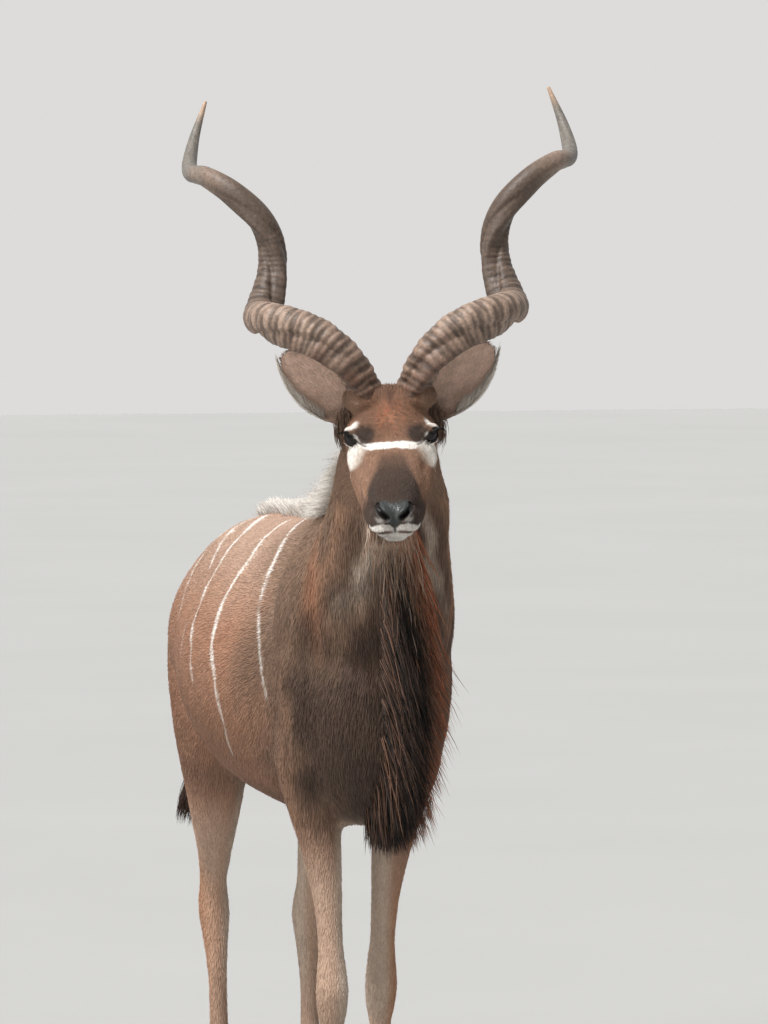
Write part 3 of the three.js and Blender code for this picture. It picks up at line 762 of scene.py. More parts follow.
def line_distance(points, line):
    """Distance to a bent line, and how far along it from 0 to 1."""
    line = np.array(line, float)
    best = np.full(len(points), 1e9)
    place = np.zeros(len(points))
    for k in range(len(line) - 1):
        a, b = line[k], line[k + 1]
        way = b - a
        t = np.clip((points - a) @ way / (way @ way), 0, 1)
        far = np.linalg.norm(points - a - t[:, None] * way, axis=1)
        nearer = far < best
        best = np.where(nearer, far, best)
        place = np.where(nearer, (k + t) / (len(line) - 1), place)
    return best, place


# The eye: its look, the line of its opening and the lids round the ball
EYE_LOOK = unit([0.66, 0.72, 0.20])
EYE_LINE = unit([-0.62, 0.62, -0.35])
LID = 2.4
OPEN_HALF = 0.84  # half length of the opening, as a share of the ball
OPEN_UPPER = 0.50
OPEN_LOWER = 0.56


def eye_axes():
    """The line of the opening, the way up and the way the eye looks."""
    along = unit(EYE_LINE - EYE_LOOK * (EYE_LINE @ EYE_LOOK))
    up = unit(np.cross(along, EYE_LOOK))
    return along, up * np.sign(up[2]), EYE_LOOK


def eye_place(side_points):
    """Place round the eye: along the opening, up, out and distance from the ball's middle."""
    along, up, look = eye_axes()
    from_ball = side_points - EYE
    far = np.linalg.norm(from_ball, axis=1)
    way = from_ball / np.maximum(far, 1e-6)[:, None]
    return way @ along, way @ up, way @ look, far


def ball_way(a, b):
    """Directions from the middle of the eye to places along and across its opening."""
    along, up, look = eye_axes()
    c = np.sqrt(np.clip(1 - a ** 2 - b ** 2, 0.02, 1))
    return unit(along * a[:, None] + up * b[:, None] + look * c[:, None])


def lid_edge(a, upper):
    share = np.clip(1 - (a / OPEN_HALF) ** 2, 0, 1)
    return np.where(upper, OPEN_UPPER, OPEN_LOWER) * share ** 0.7


def shape_eyes(head_points):
    """Draws the skin over the ball outside the opening and behind it inside."""
    a, b, c, far = eye_place(folded(head_points))
    edge = lid_edge(a, b > 0) + 1e-3
    inside = (np.abs(b) < edge) & (np.abs(a) < OPEN_HALF) & (c > 0.1)
    lid = EYE_RADIUS + LID + 1.6 * np.exp(-((np.abs(b) - edge - 0.12) / 0.14) ** 2)
    lid -= 1.6 * np.exp(-((b - edge - 0.5) / 0.1) ** 2)
    near = step(EYE_RADIUS + 17, EYE_RADIUS + 3, far) * step(-0.1, 0.25, c)
    drawn = np.where(far < lid, lid, far + (lid - far) * near * 0.75)
    drawn = np.where(c > -0.2, drawn, far)
    target = np.where(inside, EYE_RADIUS - 3.0, drawn)
    target = np.where(far > EYE_RADIUS + 22, far, target)
    middle = EYE * np.where(head_points[:, :1] < 0, [[-1, 1, 1]], [[1, 1, 1]])
    return middle + (head_points - middle) * (target / np.maximum(far, 1e-6))[:, None]


def shape_mouth(head_points, normals):
    side = folded(head_points)
    gap, place = line_distance(side, MOUTH)
    deep = 3.4 * np.exp(-(gap / 2.6) ** 2) * step(0.0, 0.15, place)
    full = 2.4 * np.exp(-((gap - 7) / 5.0) ** 2) * step(0.2, 0.6, place)
    slit = nostril_gap(side)
    hole = 15 * step(NOSTRIL_HALF + 1.0, NOSTRIL_HALF - 3.0, slit)
    wing = 2.4 * np.exp(-((slit - 9.0) / 3.0) ** 2)
    split = 3.0 * np.exp(-(head_points[:, 0] / 2.2) ** 2)
    split *= step(400, 412, side[:, 1]) * step(4, -4, side[:, 2]) * step(-18, -12, side[:, 2])
    height = full + wing - deep - split
    inward = np.array([[0.0, -1.0, 0.0]])
    return head_points + normals * height[:, None] + inward * hole[:, None]


def face_share(head_points):
    """1 on the face and muzzle, where the skin is finest."""
    _, u, v = head_points.T
    return step(60, 95, u) * step(-150, -120, v)


def refine_face(mesh):
    """Splits the faces of the face into four, for lids, nostrils and lips."""
    head = to_head(to_layout(mesh_points(mesh)))
    w, u, v = head.T
    chosen = (u > 90) & (u < 460) & (v > -75) & (np.abs(w) < 125)
    chosen &= (u < 215) | (u > 280)
    shape = bmesh.new()
    shape.from_mesh(mesh)
    shape.verts.ensure_lookup_table()
    edges = [e for e in shape.edges if chosen[e.verts[0].index] and chosen[e.verts[1].index]]
    bmesh.ops.subdivide_edges(shape, edges=edges, cuts=1, use_grid_fill=True)
    bmesh.ops.triangulate(shape, faces=[f for f in shape.faces if len(f.verts) > 4])
    shape.to_mesh(mesh)
    shape.free()
    mesh.update()


def coat_depth(layout_points, head_points):
    """How deep the skin lies under the tips of the coat, in millimetres."""
    _, u, v = head_points.T
    on_head = step(-20, 60, u) * step(-160, -120, v)
    low = step(700, 450, layout_points[:, 2])
    depth = COAT_DEPTH - 2.2 * low
    return depth + (1.6 - depth) * on_head


def skin_smoothing(layout_points, head_points):
    """How much each point is softened: most where legs and neck run into the body."""
    z = layout_points[:, 2]
    front = blob(layout_points * [0, 1, 1], [0, -190, 1140], [1, 150, 220])
    legs_in = blob(layout_points * [0, 0, 1], [0, 0, 820], [1, 1, 140])
    share = np.clip(0.10 + 0.95 * front + 0.6 * legs_in, 0, 0.95) * step(150, 420, z)
    face = step(0, 90, head_points[:, 1]) * step(-150, -110, head_points[:, 2])
    return share * (1 - face) + 0.06 * face


def thinned(mesh):
    """Fewer faces where nothing shows, and all of them on the face."""
    head = to_head(to_layout(mesh_points(mesh)))
    thing = object_from(mesh)
    group = thing.vertex_groups.new(name="plain")
    share = 1 - 0.94 * face_share(head)
    for level in np.linspace(0.05, 1.0, 20):
        chosen = np.nonzero(np.abs(share - level) <= 0.026)[0]
        group.add(chosen.tolist(), float(level), "REPLACE")
    loops = np.empty(len(mesh.polygons), np.int64)
    mesh.polygons.foreach_get("loop_total", loops)
    triangles = int((loops - 2).sum())
    thin = thing.modifiers.new("thin", "DECIMATE")
    thin.ratio = min(1.0, SKIN_FACES / triangles)
    thin.vertex_group = "plain"
    thin.vertex_group_factor = 4.0
    return settled(thing, "skin")


def make_skin():
    mesh = wrapped_skin()
    points = to_layout(mesh_points(mesh))
    share = skin_smoothing(points, to_head(points))
    points = soften(points, mesh_edges(mesh), share, SOFTEN_ROUNDS)
    set_mesh_points(mesh, to_frame(points))
    head = to_head(points)
    on_head = step(0, 50, head[:, 1]) * step(-170, -130, head[:, 2])
    height = body_height(points) * (1 - on_head) + face_height(head) * on_head
    height -= coat_depth(points, head)
    points = points + mesh_normals(mesh) * height[:, None]
    set_mesh_points(mesh, to_frame(points))
    refine_face(mesh)
    points = to_layout(mesh_points(mesh))
    head = to_head(points)
    normals = to_head(mesh_normals(mesh) + HEAD_AT)
    face = face_share(head) > 0.02
    head[face] = shape_mouth(head[face], normals[face])
    near = face & (np.linalg.norm(folded(head) - EYE, axis=1) < EYE_RADIUS + 24)
    head[near] = shape_eyes(head[near])
    points[face] = from_head(head[face])
    set_mesh_points(mesh, to_frame(points))
    return thinned(mesh)


# Colours of the coat, as seen, from 0 to 255
SHADES = {
    "fawn": (160, 119, 95),
    "grey": (126, 103, 86),
    "umber": (104, 76, 60),
    "dark": (62, 48, 41),
    "black": (24, 21, 20),
    "rufous": (148, 94, 68),
    "bright": (184, 92, 48),
    "tan": (178, 136, 108),
    "pale": (200, 184, 168),
    "white": (240, 235, 228),
    "forehead": (118, 88, 69),
    "bridge": (66, 53, 45),
    "cheek": (136, 104, 84),
    "nose": (58, 61, 60),
    "pink": (226, 196, 178),
    "wet": (18, 13, 12),
}


def linear(shade):
    value = np.array(SHADES[shade], float) / 255
    return np.where(value <= 0.04045, value / 12.92, ((value + 0.055) / 1.055) ** 2.4)


def blended(colour, other, share):
    """The colour with some of another laid over it."""
    return colour + (other - colour) * share[:, None]


def painted(colour, shade, share):
    """The colour with some of a named shade laid over it."""
    return blended(colour, linear(shade), np.clip(share, 0, 1))


def layered(colour, layers):
    """The colour with shades laid over it one after another, each by its share."""
    for shade, share in layers:
        colour = painted(colour, shade, share)
    return colour


def all_over(shade, points):
    return np.tile(linear(shade), (len(points), 1))


# White stripes of the flank: points x outward, y, z from the spine down
STRIPES = [
    [
        [20, 262, 1392], [80, 258, 1371], [135, 208, 1310], [183, 176, 1207],
        [192, 102, 1098], [184, 58, 1025],
    ],
    [
        [11, 578, 1380], [96, 417, 1352], [160, 350, 1299], [219, 349, 1202],
        [243, 346, 1124], [247, 324, 1083], [244, 297, 1008], [228, 286, 945],
        [208, 301, 892],
    ],
    [
        [35, 786, 1366], [129, 617, 1325], [188, 550, 1273], [237, 507, 1193],
        [258, 493, 1119], [263, 453, 1030],
    ],
    [
        [30, 880, 1362], [120, 745, 1325], [190, 668, 1255], [240, 625, 1179],
        [257, 602, 1110], [252, 580, 1020],
    ],
    [
        [40, 985, 1345], [140, 880, 1300], [210, 806, 1210], [243, 765, 1120],
        [248, 740, 1040],
    ],
    [
        [40, 1070, 1310], [130, 1000, 1270], [190, 940, 1180], [215, 905, 1090],
    ],
]
STRIPE_WIDTH = 6.6


def stripe_share(points):
    side = folded(points)
    share = np.zeros(len(points))
    wobble = 0.9 * skin_noise(points, 70, 31)
    for k, line in enumerate(STRIPES):
        far, place = line_distance(side, line)
        width = STRIPE_WIDTH * (1 - 0.35 * place) - (0.8 if k > 2 else 0)
        fade = 1 - 0.5 * step(0.75, 1.0, place)
        share = np.maximum(share, fade * step(width + 3.4, width - 3.2, far + wobble))
    return share * step(10, 40, side[:, 0])


def body_colour(points):
    x, y, z = points.T
    noise = skin_noise(points, 230, 11)
    fine = skin_noise(points, 46, 12)
    side = folded(points)
    front = step(260, 90, y + 40 * noise - 0.3 * (z - 1100))
    dark_chest_and_shade = step(-120, -250, y) * step(1360, 1200, z) * step(150, 50, np.abs(x))
    belly_shade = step(850, 780, z) * step(-150, 60, y) * step(1000, 860, y)
    colour = layered(all_over("fawn", points), [
        # painted light: the top of the back is made paler where light falls from above
        ("pale", 0.34 * step(1120, 1330, z + 30 * noise) * step(60, 200, y)),
        # painted shade: the body is made darker towards the belly
        ("umber", 0.45 * step(1130, 850, z + 40 * noise)),
        ("rufous", 0.16 * step(0.0, 0.9, noise)),
        ("grey", 0.92 * front),
        ("umber", 0.5 * front * step(1240, 1000, z + 50 * noise)),
        # the chest's darker coat, deepened by painted shade under the head and neck
        ("dark", 0.75 * dark_chest_and_shade),
        # painted shade under the belly
        ("dark", 0.6 * belly_shade),
        ("pale", 0.5 * blob(points, [0, 820, 820], [90, 130, 60])),
        ("pale", 0.55 * blob(side, [60, 1130, 1120], [70, 70, 110])),
    ])
    colour = colour * (1 + 0.04 * fine)[:, None]
    return painted(colour, "white", 0.92 * stripe_share(points))


def neck_axis(z):
    """Middle of the neck at a height: x and y."""
    rows = np.array(NECK, float)
    return np.interp(z, rows[:, 2], rows[:, 0]), np.interp(z, rows[:, 2], rows[:, 1])


NECK_BANDS = [0.0, 0.2, 0.34, 0.5, 0.62, 0.8, 1.1, 1.5, 1.9, 2.4, 3.2]
NECK_TONES = [0.95, 0.8, 0.1, 0.0, 0.7, 0.5, 0.0, 0.1, 0.15, 0.12, 0.0]


def neck_colour(points):
    """Light and dark bands run down the neck from the cheeks to the chest."""
    x, y, z = points.T
    noise = skin_noise(points, 120, 14)
    fine = skin_noise(points * [1, 1, 0.25], 22, 15)
    middle_x, middle_y = neck_axis(z)
    around = np.arctan2(x - middle_x, middle_y - y)
    turn = np.abs(around) + 0.07 * noise
    tone = np.interp(turn, NECK_BANDS, NECK_TONES)
    light = np.exp(-((turn - 0.42) / 0.13) ** 2) * step(1180, 1340, z)
    return layered(all_over("grey", points), [
        ("tan", 0.12 + 0.12 * noise),
        ("umber", 0.35 * tone),
        ("dark", 0.62 * tone + 0.10 * fine),
        ("pale", 0.85 * light),
        ("tan", 0.45 * np.exp(-((np.abs(around) - 1.15) / 0.25) ** 2)),
        ("dark", 0.07 + 0.07 * np.sin(around * 31 + 1.5 * noise)),
        ("pale", 0.5 * step(2.2, 2.7, np.abs(around))),
    ])


def leg_colour(points):
    x, y, z = points.T
    fore = y < 420
    ahead = step(0, -14, y - np.where(fore, 25, 1030))
    behind = step(60, -10, y - np.where(fore, 0, 1000))
    middle = np.where(fore, 72, 92)
    inner = step(middle + 4, middle - 22, np.abs(x))
    garter = blob(points * [0, 1, 1], [0, -130, 560], [1, 60, 40]) * inner
    shin = blob(points * [0, 0, 1], [0, 0, 300], [1, 1, 110])
    pastern = step(150, 118, z) * step(60, 84, z)
    return layered(all_over("fawn", points), [
        ("tan", 0.7 * step(740, 520, z)),
        ("pale", 0.4 * step(820, 640, z) * behind),
        ("grey", 0.65 * (1 - step(200, 300, y)) * step(620, 800, z)),
        ("pale", 0.8 * inner * step(250, 420, z) * step(900, 780, z)),
        ("dark", 0.8 * garter),
        ("dark", 0.25 * shin * ahead),
        ("white", 0.55 * pastern * ahead),
        ("dark", 0.85 * step(74, 50, z)),
    ])


BAR_LINE = [[0, 210, 60], [20, 208, 58], [38, 202, 54], [52, 191, 49], [63, 177, 50], [72, 158, 57]]
BAR_WIDTHS = [10, 11, 10, 4.5, 2.2, 2]
TEAR_LINE = [[68, 164, 46], [58, 180, 46], [49, 193, 48]]


def forehead_colour(colour, head, side, noise, fine):
    _, u, v = side.T
    whorl = blob(head, [0, 124, 84], [34, 40, 40]) * (0.7 + 0.4 * fine)
    tuft = blob(side, [81, 130, 63], [17, 19, 15])
    return layered(colour, [
        ("forehead", step(205, 175, u) * step(10, 50, v)),
        ("grey", 0.6 * step(150, 90, u) * step(40, 0, v)),
        ("rufous", 0.85 * whorl),
        ("tan", 0.3 * whorl * step(-0.2, 0.6, noise)),
        ("umber", 0.45 * blob(side, [56, 130, 70], [24, 50, 24])),
        ("umber", 0.85 * blob(side, [0, 80, 96], [52, 34, 34])),
        ("rufous", 0.5 * blob(side, [0, 122, 84], [18, 34, 34]) * step(-0.6, 0.6, fine)),
        ("dark", step(0.05, 0.6, blob(side, [54, 168, 56], [23, 25, 24]))),
        ("dark", 0.5 * blob(side, [0, 88, 96], [5, 26, 30])),
        ("tan", 0.5 * blob(side, [84, 118, 54], [18, 24, 22])),
        ("white", 0.9 * step(0.18, 0.6, tuft + 0.1 * noise)),
    ])


def cheek_colour(colour, side, noise):
    w, u, v = side.T
    edge = np.interp(u, [226, 246, 283, 337], [17, 24, 37, 58])
    panel = step(edge + 10, edge - 8, w + 3 * noise) * step(222, 250, u) * step(0, 20, v)
    ahead = np.interp(v, [0, 8, 30, 50], [198, 211, 217, 200]) + 3 * noise
    lower = np.interp(u, [150, 180, 205, 220], [10, 3, 2, 18]) + 2 * noise
    upper = np.interp(u, [150, 170, 192, 214], [34, 44, 49, 54])
    patch = step(ahead + 12, ahead - 9, u + 3 * noise) * step(lower - 9, lower + 7, v)
    patch *= step(upper + 3, upper - 1, v) * step(144, 152, u)
    veins = [line_distance(side, vein)[0] + 1.5 * noise for vein in VEINS]
    spots = [blob(side * [0, 1, 1], [0, *spot], [1, 9, 8]) for spot in CHEEK_SPOTS]
    return layered(colour, [
        ("tan", 0.25 * blob(side, [60, 290, 8], [18, 50, 30])),
        ("bridge", panel * (0.6 + 0.35 * step(240, 300, u))),
        ("bridge", 0.9 * step(300, 345, u + 6 * noise) * step(-50, -20, v)),
        ("dark", 0.7 * step(285, 370, u + 6 * noise) * step(-30, 10, v)),
        ("dark", 0.35 * blob(side, [66, 310, -22], [16, 34, 20])),
        ("pale", 0.7 * patch),
        ("white", 0.84 * patch * step(218, 170, u - 0.5 * (w - 60) + 5 * noise)),
        *[("black", 0.4 * step(6, 1, gap)) for gap in veins],
        *[("white", 0.7 * spot) for spot in spots],
    ])


VEINS = [
    [[38, 340, 38], [50, 330, 20], [58, 318, 0], [60, 328, -20]],
    [[34, 376, 26], [46, 366, 12], [54, 352, -4]],
    [[64, 250, 14], [66, 280, 2], [62, 305, -4]],
]
CHEEK_SPOTS = [(262, -48), (226, -66)]
LIP_PLACES = [0, 5, 12, 25, 38, 50]
LIP_TOPS = [-7, -4, 2, 3, -5, -22]
# Line along the lower edge of the cheeks, painted white as a painted highlight where light catches the
# edge of the fur
JAW_HIGHLIGHT = [
    [86, 175, -8], [81, 210, -24], [73, 260, -36],
    [64, 310, -38], [57, 350, -38], [50, 380, -34],
]


def mouth_colour(colour, side):
    """White lips and chin round the dark line of the mouth."""
    w, u, v = side.T
    noise = skin_noise(side, 16, 23)
    top = np.interp(w, LIP_PLACES, LIP_TOPS)
    mouth = np.interp(w, [0, 20, 36, 46, 52], [-14, -15, -23, -33, -42])
    lip = step(372, 384, u) * step(top + 1.5, top - 1.5, v) * step(mouth - 2, mouth + 1, v)
    chin = step(mouth + 1, mouth - 2, v) * step(322, 360, u)
    jaw = step(-66, -88, v + 0.12 * (300 - u))
    edge, _ = line_distance(side, JAW_HIGHLIGHT)
    gap, _ = line_distance(side, MOUTH)
    return layered(colour, [
        ("white", 0.97 * lip),
        ("white", 0.85 * blob(side, [28, 414, 9], [7, 14, 5])),
        ("white", 0.92 * chin),
        ("umber", 0.6 * chin * step(-40, -56, v + 3 * noise)),
        ("pale", 0.7 * jaw * step(120, 180, u)),
        # painted highlight along the lower edge of the cheeks
        ("white", 0.75 * step(4.5, 1.5, edge)),
        ("umber", 0.9 * step(5.0, 2.6, gap)),
        ("black", 0.6 * step(2.6, 1.0, gap)),
    ])


def face_colour(head):
    side = folded(head)
    noise = skin_noise(head, 38, 21)
    fine = skin_noise(head, 13, 22)
    colour = forehead_colour(all_over("cheek", head), head, side, noise, fine)
    colour = cheek_colour(colour, side, noise)
    far, place = line_distance(side, BAR_LINE)
    lobes = 1 - 0.12 * blob(side, [0, 209, 60], [4, 40, 40])
    edge = far - value_at(BAR_WIDTHS, place) * lobes + 1.2 * noise + 1.4 * fine
    bar = step(2.5, -1.5, edge) * (1 - 0.45 * step(0.55, 0.8, place))
    tear, _ = line_distance(side, TEAR_LINE)
    colour = layered(colour, [("white", 0.98 * bar), ("dark", 0.9 * step(3.0, 1.0, tear))])
    return mouth_colour(colour, side) * (1 + 0.06 * fine)[:, None]


NOSE_HEIGHTS = [-16, -2, 1, 4, 9, 15, 22, 28, 34, 40]
NOSE_HALVES = [2.2, 2.4, 5, 9, 15, 26, 37, 42, 37, 30]


def nose_share(head):
    """1 on the bare moist nose pad."""
    w, u, v = folded(head).T
    edge = np.interp(v, NOSE_HEIGHTS, NOSE_HALVES)
    start = np.interp(w, [0, 12, 24, 36, 46], [394, 389, 383, 386, 394])
    return step(edge + 1.5, edge - 1.5, w) * step(start - 4, start + 3, u) * step(-17, -15, v)


def ear_place(head):
    """Share of the ear's length, place across it and place along the way it faces."""
    along, facing, across = ear_frame()
    from_base = folded(head) - EAR_BASE
    length = np.linalg.norm(EAR_TIP - EAR_BASE)
    return from_base @ along / length, from_base @ across, from_base @ facing


def ear_share(head):
    t, _, _ = ear_place(head)
    return step(0.1, 0.24, t) * (np.abs(head[:, 0]) > 60) * (t < 1.2)


def ear_colour(head, inside):
    t, across, _ = ear_place(head)
    edge = np.abs(across) / np.maximum(value_at(EAR_WIDTHS, t), 1)
    noise = skin_noise(head, 24, 25)
    back = painted(all_over("cheek", head), "grey", 0.5 + 0.2 * noise)
    cup = painted(all_over("pink", head), "umber", 0.06 + 0.10 * noise)
    rim = step(0.86, 0.97, edge + 0.15 * step(0.8, 1.0, t)) * step(0.2, 0.4, t)
    height = across * np.sign(ear_frame()[2][2]) / 50
    upper = step(-0.1, 0.2, height + 0.5 * step(0.8, 1.0, t))
    return layered(blended(back, cup, inside), [
        ("dark", 0.4 * inside * step(0.34, 0.12, t + 0.1 * noise)),
        ("umber", 0.7 * rim * inside * upper),
        ("white", 0.9 * rim * (1 - upper)),
        ("dark", 0.4 * (1 - inside) * step(0.85, 1.0, t)),
    ])


def coat_colour(points, inside):
    """Colour of skin and coat at layout points: one marking for both."""
    _, y, z = points.T
    head = to_head(points)
    on_head = step(-10, 40, head[:, 1]) * step(-175, -135, head[:, 2])
    on_neck = step(-60, -190, y + 0.35 * (z - 1200)) * (1 - on_head)
    on_leg = step(840, 700, z)
    colour = blended(body_colour(points), neck_colour(points), on_neck)
    colour = blended(colour, leg_colour(points), on_leg)
    near = on_head > 0
    colour[near] = blended(colour[near], face_colour(head[near]), on_head[near])
    ears = ear_share(head)
    near = ears > 0
    colour[near] = blended(colour[near], ear_colour(head[near], inside[near]), ears[near])
    streak = blob(folded(points), [140, -188, 1250], [44, 40, 100]) * (1 - on_head)
    patchy = skin_noise(points, 90, 51)
    dark_chest_and_shade = step(1290, 930, z + 0.3 * y + 60 * patchy) * step(0, -150, y + 30 * patchy)
    tail = step(1120, 1150, y) * step(1180, 1120, z)
    colour = layered(colour, [
        ("tan", 0.5 * streak),
        ("rufous", 0.5 * streak),
        # the chest's darker coat, deepened by painted shade under the head and neck
        ("dark", 0.78 * (dark_chest_and_shade * (1 - on_leg))),
        ("dark", 0.8 * tail * step(900, 800, z)),
    ])
    return np.clip(colour, 0.004, 0.95)


def ear_rings(sign, count=46):
    """A thin cupped leaf: the outer side from edge to edge, then the inner side back."""
    _, facing, across = ear_frame()
    t = np.linspace(0.0, 1.0, count)
    widths = smooth_rows([[v] for v in EAR_WIDTHS], count)[:, 0]
    cups = smooth_rows([[v] for v in EAR_CUPS], count)[:, 0]
    widths = widths * np.sqrt(np.clip((1.03 - t) / 0.16, 0.02, 1)) ** 0.5
    open_half = 1.75
    outer = np.linspace(-open_half, open_half, 34)
    inner = np.linspace(open_half, -open_half, 28)[1:-1]
    wall = 4.2
    rings = []
    for angle, thin in ((outer, 0.0), (inner, wall)):
        wide = np.maximum(widths - thin * 0.8, 2)[:, None]
        cup = np.maximum(cups - thin, 0.8)[:, None]
        wave = 1.6 * np.sin(angle * 5 + t[:, None] * 9)
        centre = EAR_BASE + (EAR_TIP - EAR_BASE) * t[:, None]
        point = centre[:, None] + across * (wide * np.sin(angle))[..., None]
        rings.append(point + facing * (-cup * np.cos(angle) + wave * 0.5)[..., None])
    rings = np.concatenate(rings, 1)
    rings[..., 0] *= sign
    return from_head(rings), len(outer)


def ear_mesh(sign):
    rings, outer = ear_rings(sign)
    mesh = lofts_mesh("ear", [rings])
    count, sides = rings.shape[:2]
    inside = np.zeros(count * sides + 2)
    inside[: count * sides] = np.tile(np.arange(sides) >= outer, count)
    store(mesh, "ear_inside", inside)
    return mesh


def joined_mesh(meshes, name):
    things = [object_from(mesh) for mesh in meshes]
    first = things[0]
    with bpy.context.temp_override(active_object=first, selected_editable_objects=things):
        bpy.ops.object.join()
    mesh = first.data
    mesh.name = name
    bpy.data.objects.remove(first)
    return mesh


def lie_of_coat(points, normals, ears):
    """The way the hair lies at each point: along the surface."""
    _, y, z = points.T
    w, u, v = to_head(points).T
    lie = np.tile([0.0, 1.0, -0.35], (len(points), 1))
    lie[:, 2] -= 0.9 * step(1100, 900, z)
    lie = blended(lie, np.array([0.0, 0.22, -1.0]), step(140, -170, y + 0.35 * (z - 1200)))
    lie = blended(lie, np.array([0.0, 0.12, -1.0]), step(860, 740, z))
    face = unit(np.stack([w * 1.2, u - 132, 0 * v], -1))
    face[:, 2] -= 0.4 * step(60, 0, v)
    lie = blended(lie, head_vector(face), step(0, 90, u) * step(-165, -95, v))
    along, _, _ = ear_frame()
    ear_way = np.tile(along, (len(points), 1))
    ear_way[:, 0] *= np.where(w < 0, -1, 1)
    lie = blended(lie, head_vector(ear_way), ears)
    lie -= normals * (lie * normals).sum(-1, keepdims=True)
    return unit(lie)


# Zones of the coat: name, slot, spacing of the tufts, their length, width and thickness in
# millimetres, and how much they differ in tone
ZONES = [
    ("face", "head_coat", 2.1, 6.4, 1.5, 0.5, 0.14),
    ("head_back", "head_coat", 2.7, 12.0, 2.1, 0.7, 0.22),
    ("ears", "ear_coat", 2.6, 10.0, 1.7, 0.5, 0.16),
    ("neck", "neck_coat", 3.5, 22.0, 2.4, 0.8, 0.26),
    ("shoulders", "body_coat", 4.1, 17.0, 2.8, 0.8, 0.22),
    ("flank_right", "body_coat", 4.2, 13.5, 2.6, 0.7, 0.12),
    ("flank_left", "body_coat", 4.2, 13.5, 2.6, 0.7, 0.12),
    ("rump", "body_coat", 4.4, 15.0, 2.8, 0.8, 0.14),
    ("fore_legs", "leg_coat", 3.5, 11.5, 2.3, 0.7, 0.14),
    ("hind_legs", "leg_coat", 3.9, 12.5, 2.5, 0.7, 0.14),
]
ZONE = {row[0]: number for number, row in enumerate(ZONES)}


def zone_of(points, ears):
    """The number of the zone that each point belongs to: a later test wins."""
    x, y, z = points.T
    _, u, v = to_head(points).T
    zone = np.full(len(points), ZONE["flank_right"])
    on_leg = z < 760
    on_head = (u > 0) & (v > -165) & (z > 1250)
    for name, chosen in (
        ("flank_left", x > 0),
        ("rump", y > 780),
        ("shoulders", y < 170),
        ("neck", y + 0.35 * (z - 1200) < -110),
        ("fore_legs", on_leg & (y < 420)),
        ("hind_legs", on_leg & (y >= 420)),
        ("head_back", on_head),
        ("face", on_head & (u > 92)),
        ("ears", ears > 0.3),
    ):
        zone[chosen] = ZONE[name]
    return zone


def bare_share(head):
    """Where no tuft grows: nose pad, nostrils, mouth, lids and eye openings."""
    a, b, c, far = eye_place(folded(head))
    edge = lid_edge(a, b > 0)
    eye = step(EYE_RADIUS + 13, EYE_RADIUS + 7, far) * step(0.14, 0.06, np.abs(b) - edge) * (c > 0)
    gap, _ = line_distance(folded(head), MOUTH)
    return np.clip(np.maximum.reduce([eye, nose_share(head), step(4.6, 3.2, gap)]), 0, 1)


def dress_skin(mesh):
    """Writes the colour, the lie of the hair and the zones on the skin."""
    points = to_layout(mesh_points(mesh))
    head = to_head(points)
    inside = stored(mesh, "ear_inside", 1)
    ears = ear_share(head)
    on_head = step(40, 60, head[:, 1]) * step(-160, -130, head[:, 2])
    moist = nose_share(head) * on_head
    slit = nostril_gap(folded(head))
    a, b, c, far = eye_place(folded(head))
    edge = np.abs(b) - lid_edge(a, b > 0)
    rim = step(EYE_RADIUS + 8, EYE_RADIUS + 4, far) * step(0.12, 0.05, edge) * (c > 0)
    paint_mesh(mesh, layered(coat_colour(points, inside), [
        ("nose", moist),
        ("black", on_head * step(NOSTRIL_HALF + 1.5, NOSTRIL_HALF - 1, slit)),
        ("wet", on_head * rim),
    ]))
    store(mesh, "moist", moist)
    store(mesh, "lie", lie_of_coat(points, mesh_normals(mesh), ears))
    store(mesh, "zone", zone_of(points, ears).astype(float))
    store(mesh, "grow", 1 - bare_share(head) * on_head)


def tuft_blade():
    """One flat tuft of unit length and width: root edge, ridge and tip."""
    points = np.array([
        [-0.36, 0.0, 0.0],
        [0.36, 0.0, 0.0],
        [-0.5, 0.42, 0.0],
        [0.5, 0.42, 0.0],
        [0.0, 0.36, 1.0],
        [0.0, 1.0, 0.15],
    ])
    faces = [(0, 1, 4), (1, 3, 4), (3, 5, 4), (5, 2, 4), (2, 0, 4), (0, 2, 3, 1), (2, 5, 3)]
    return mesh_from("tuft_blade", points, faces)


def add_node(tree, kind, inputs=(), **settings):
    """A node with its settings made and its inputs linked to sockets or set to values."""
    node = tree.nodes.new(kind)
    for name, value in settings.items():
        setattr(node, name, value)
    for key, value in dict(inputs).items():
        if isinstance(value, bpy.types.NodeSocket):
            tree.links.new(value, node.inputs[key])
        else:
            node.inputs[key].default_value = value
    return node


def attribute_node(tree, name, kind):
    node = add_node(tree, "GeometryNodeInputNamedAttribute", {"Name": name}, data_type=kind)
    return node.outputs["Attribute"]


def random_node(tree, kind, low, high, seed):
    node = add_node(tree, "FunctionNodeRandomValue", {"Seed": seed}, data_type=kind)
    sockets = [socket for socket in node.inputs if socket.enabled]
    sockets[0].default_value = low
    sockets[1].default_value = high
    return [socket for socket in node.outputs if socket.enabled][0]


TUFT_INPUTS = {
    "Skin": "Geometry",
    "Tuft": "Object",
    "Zone": "Float",
    "Spacing": "Float",
    "Length": "Float",
    "Width": "Float",
    "Thickness": "Float",
    "Seed": "Int",
    "Finish": "Material",
}
TUFT_LIFT = 0.07  # radians that a tuft stands off the skin
COAT_SEED = 11
PAGE_COLUMNS = 4  # places for the zones on the unwrap
PAGE_ROWS = 3


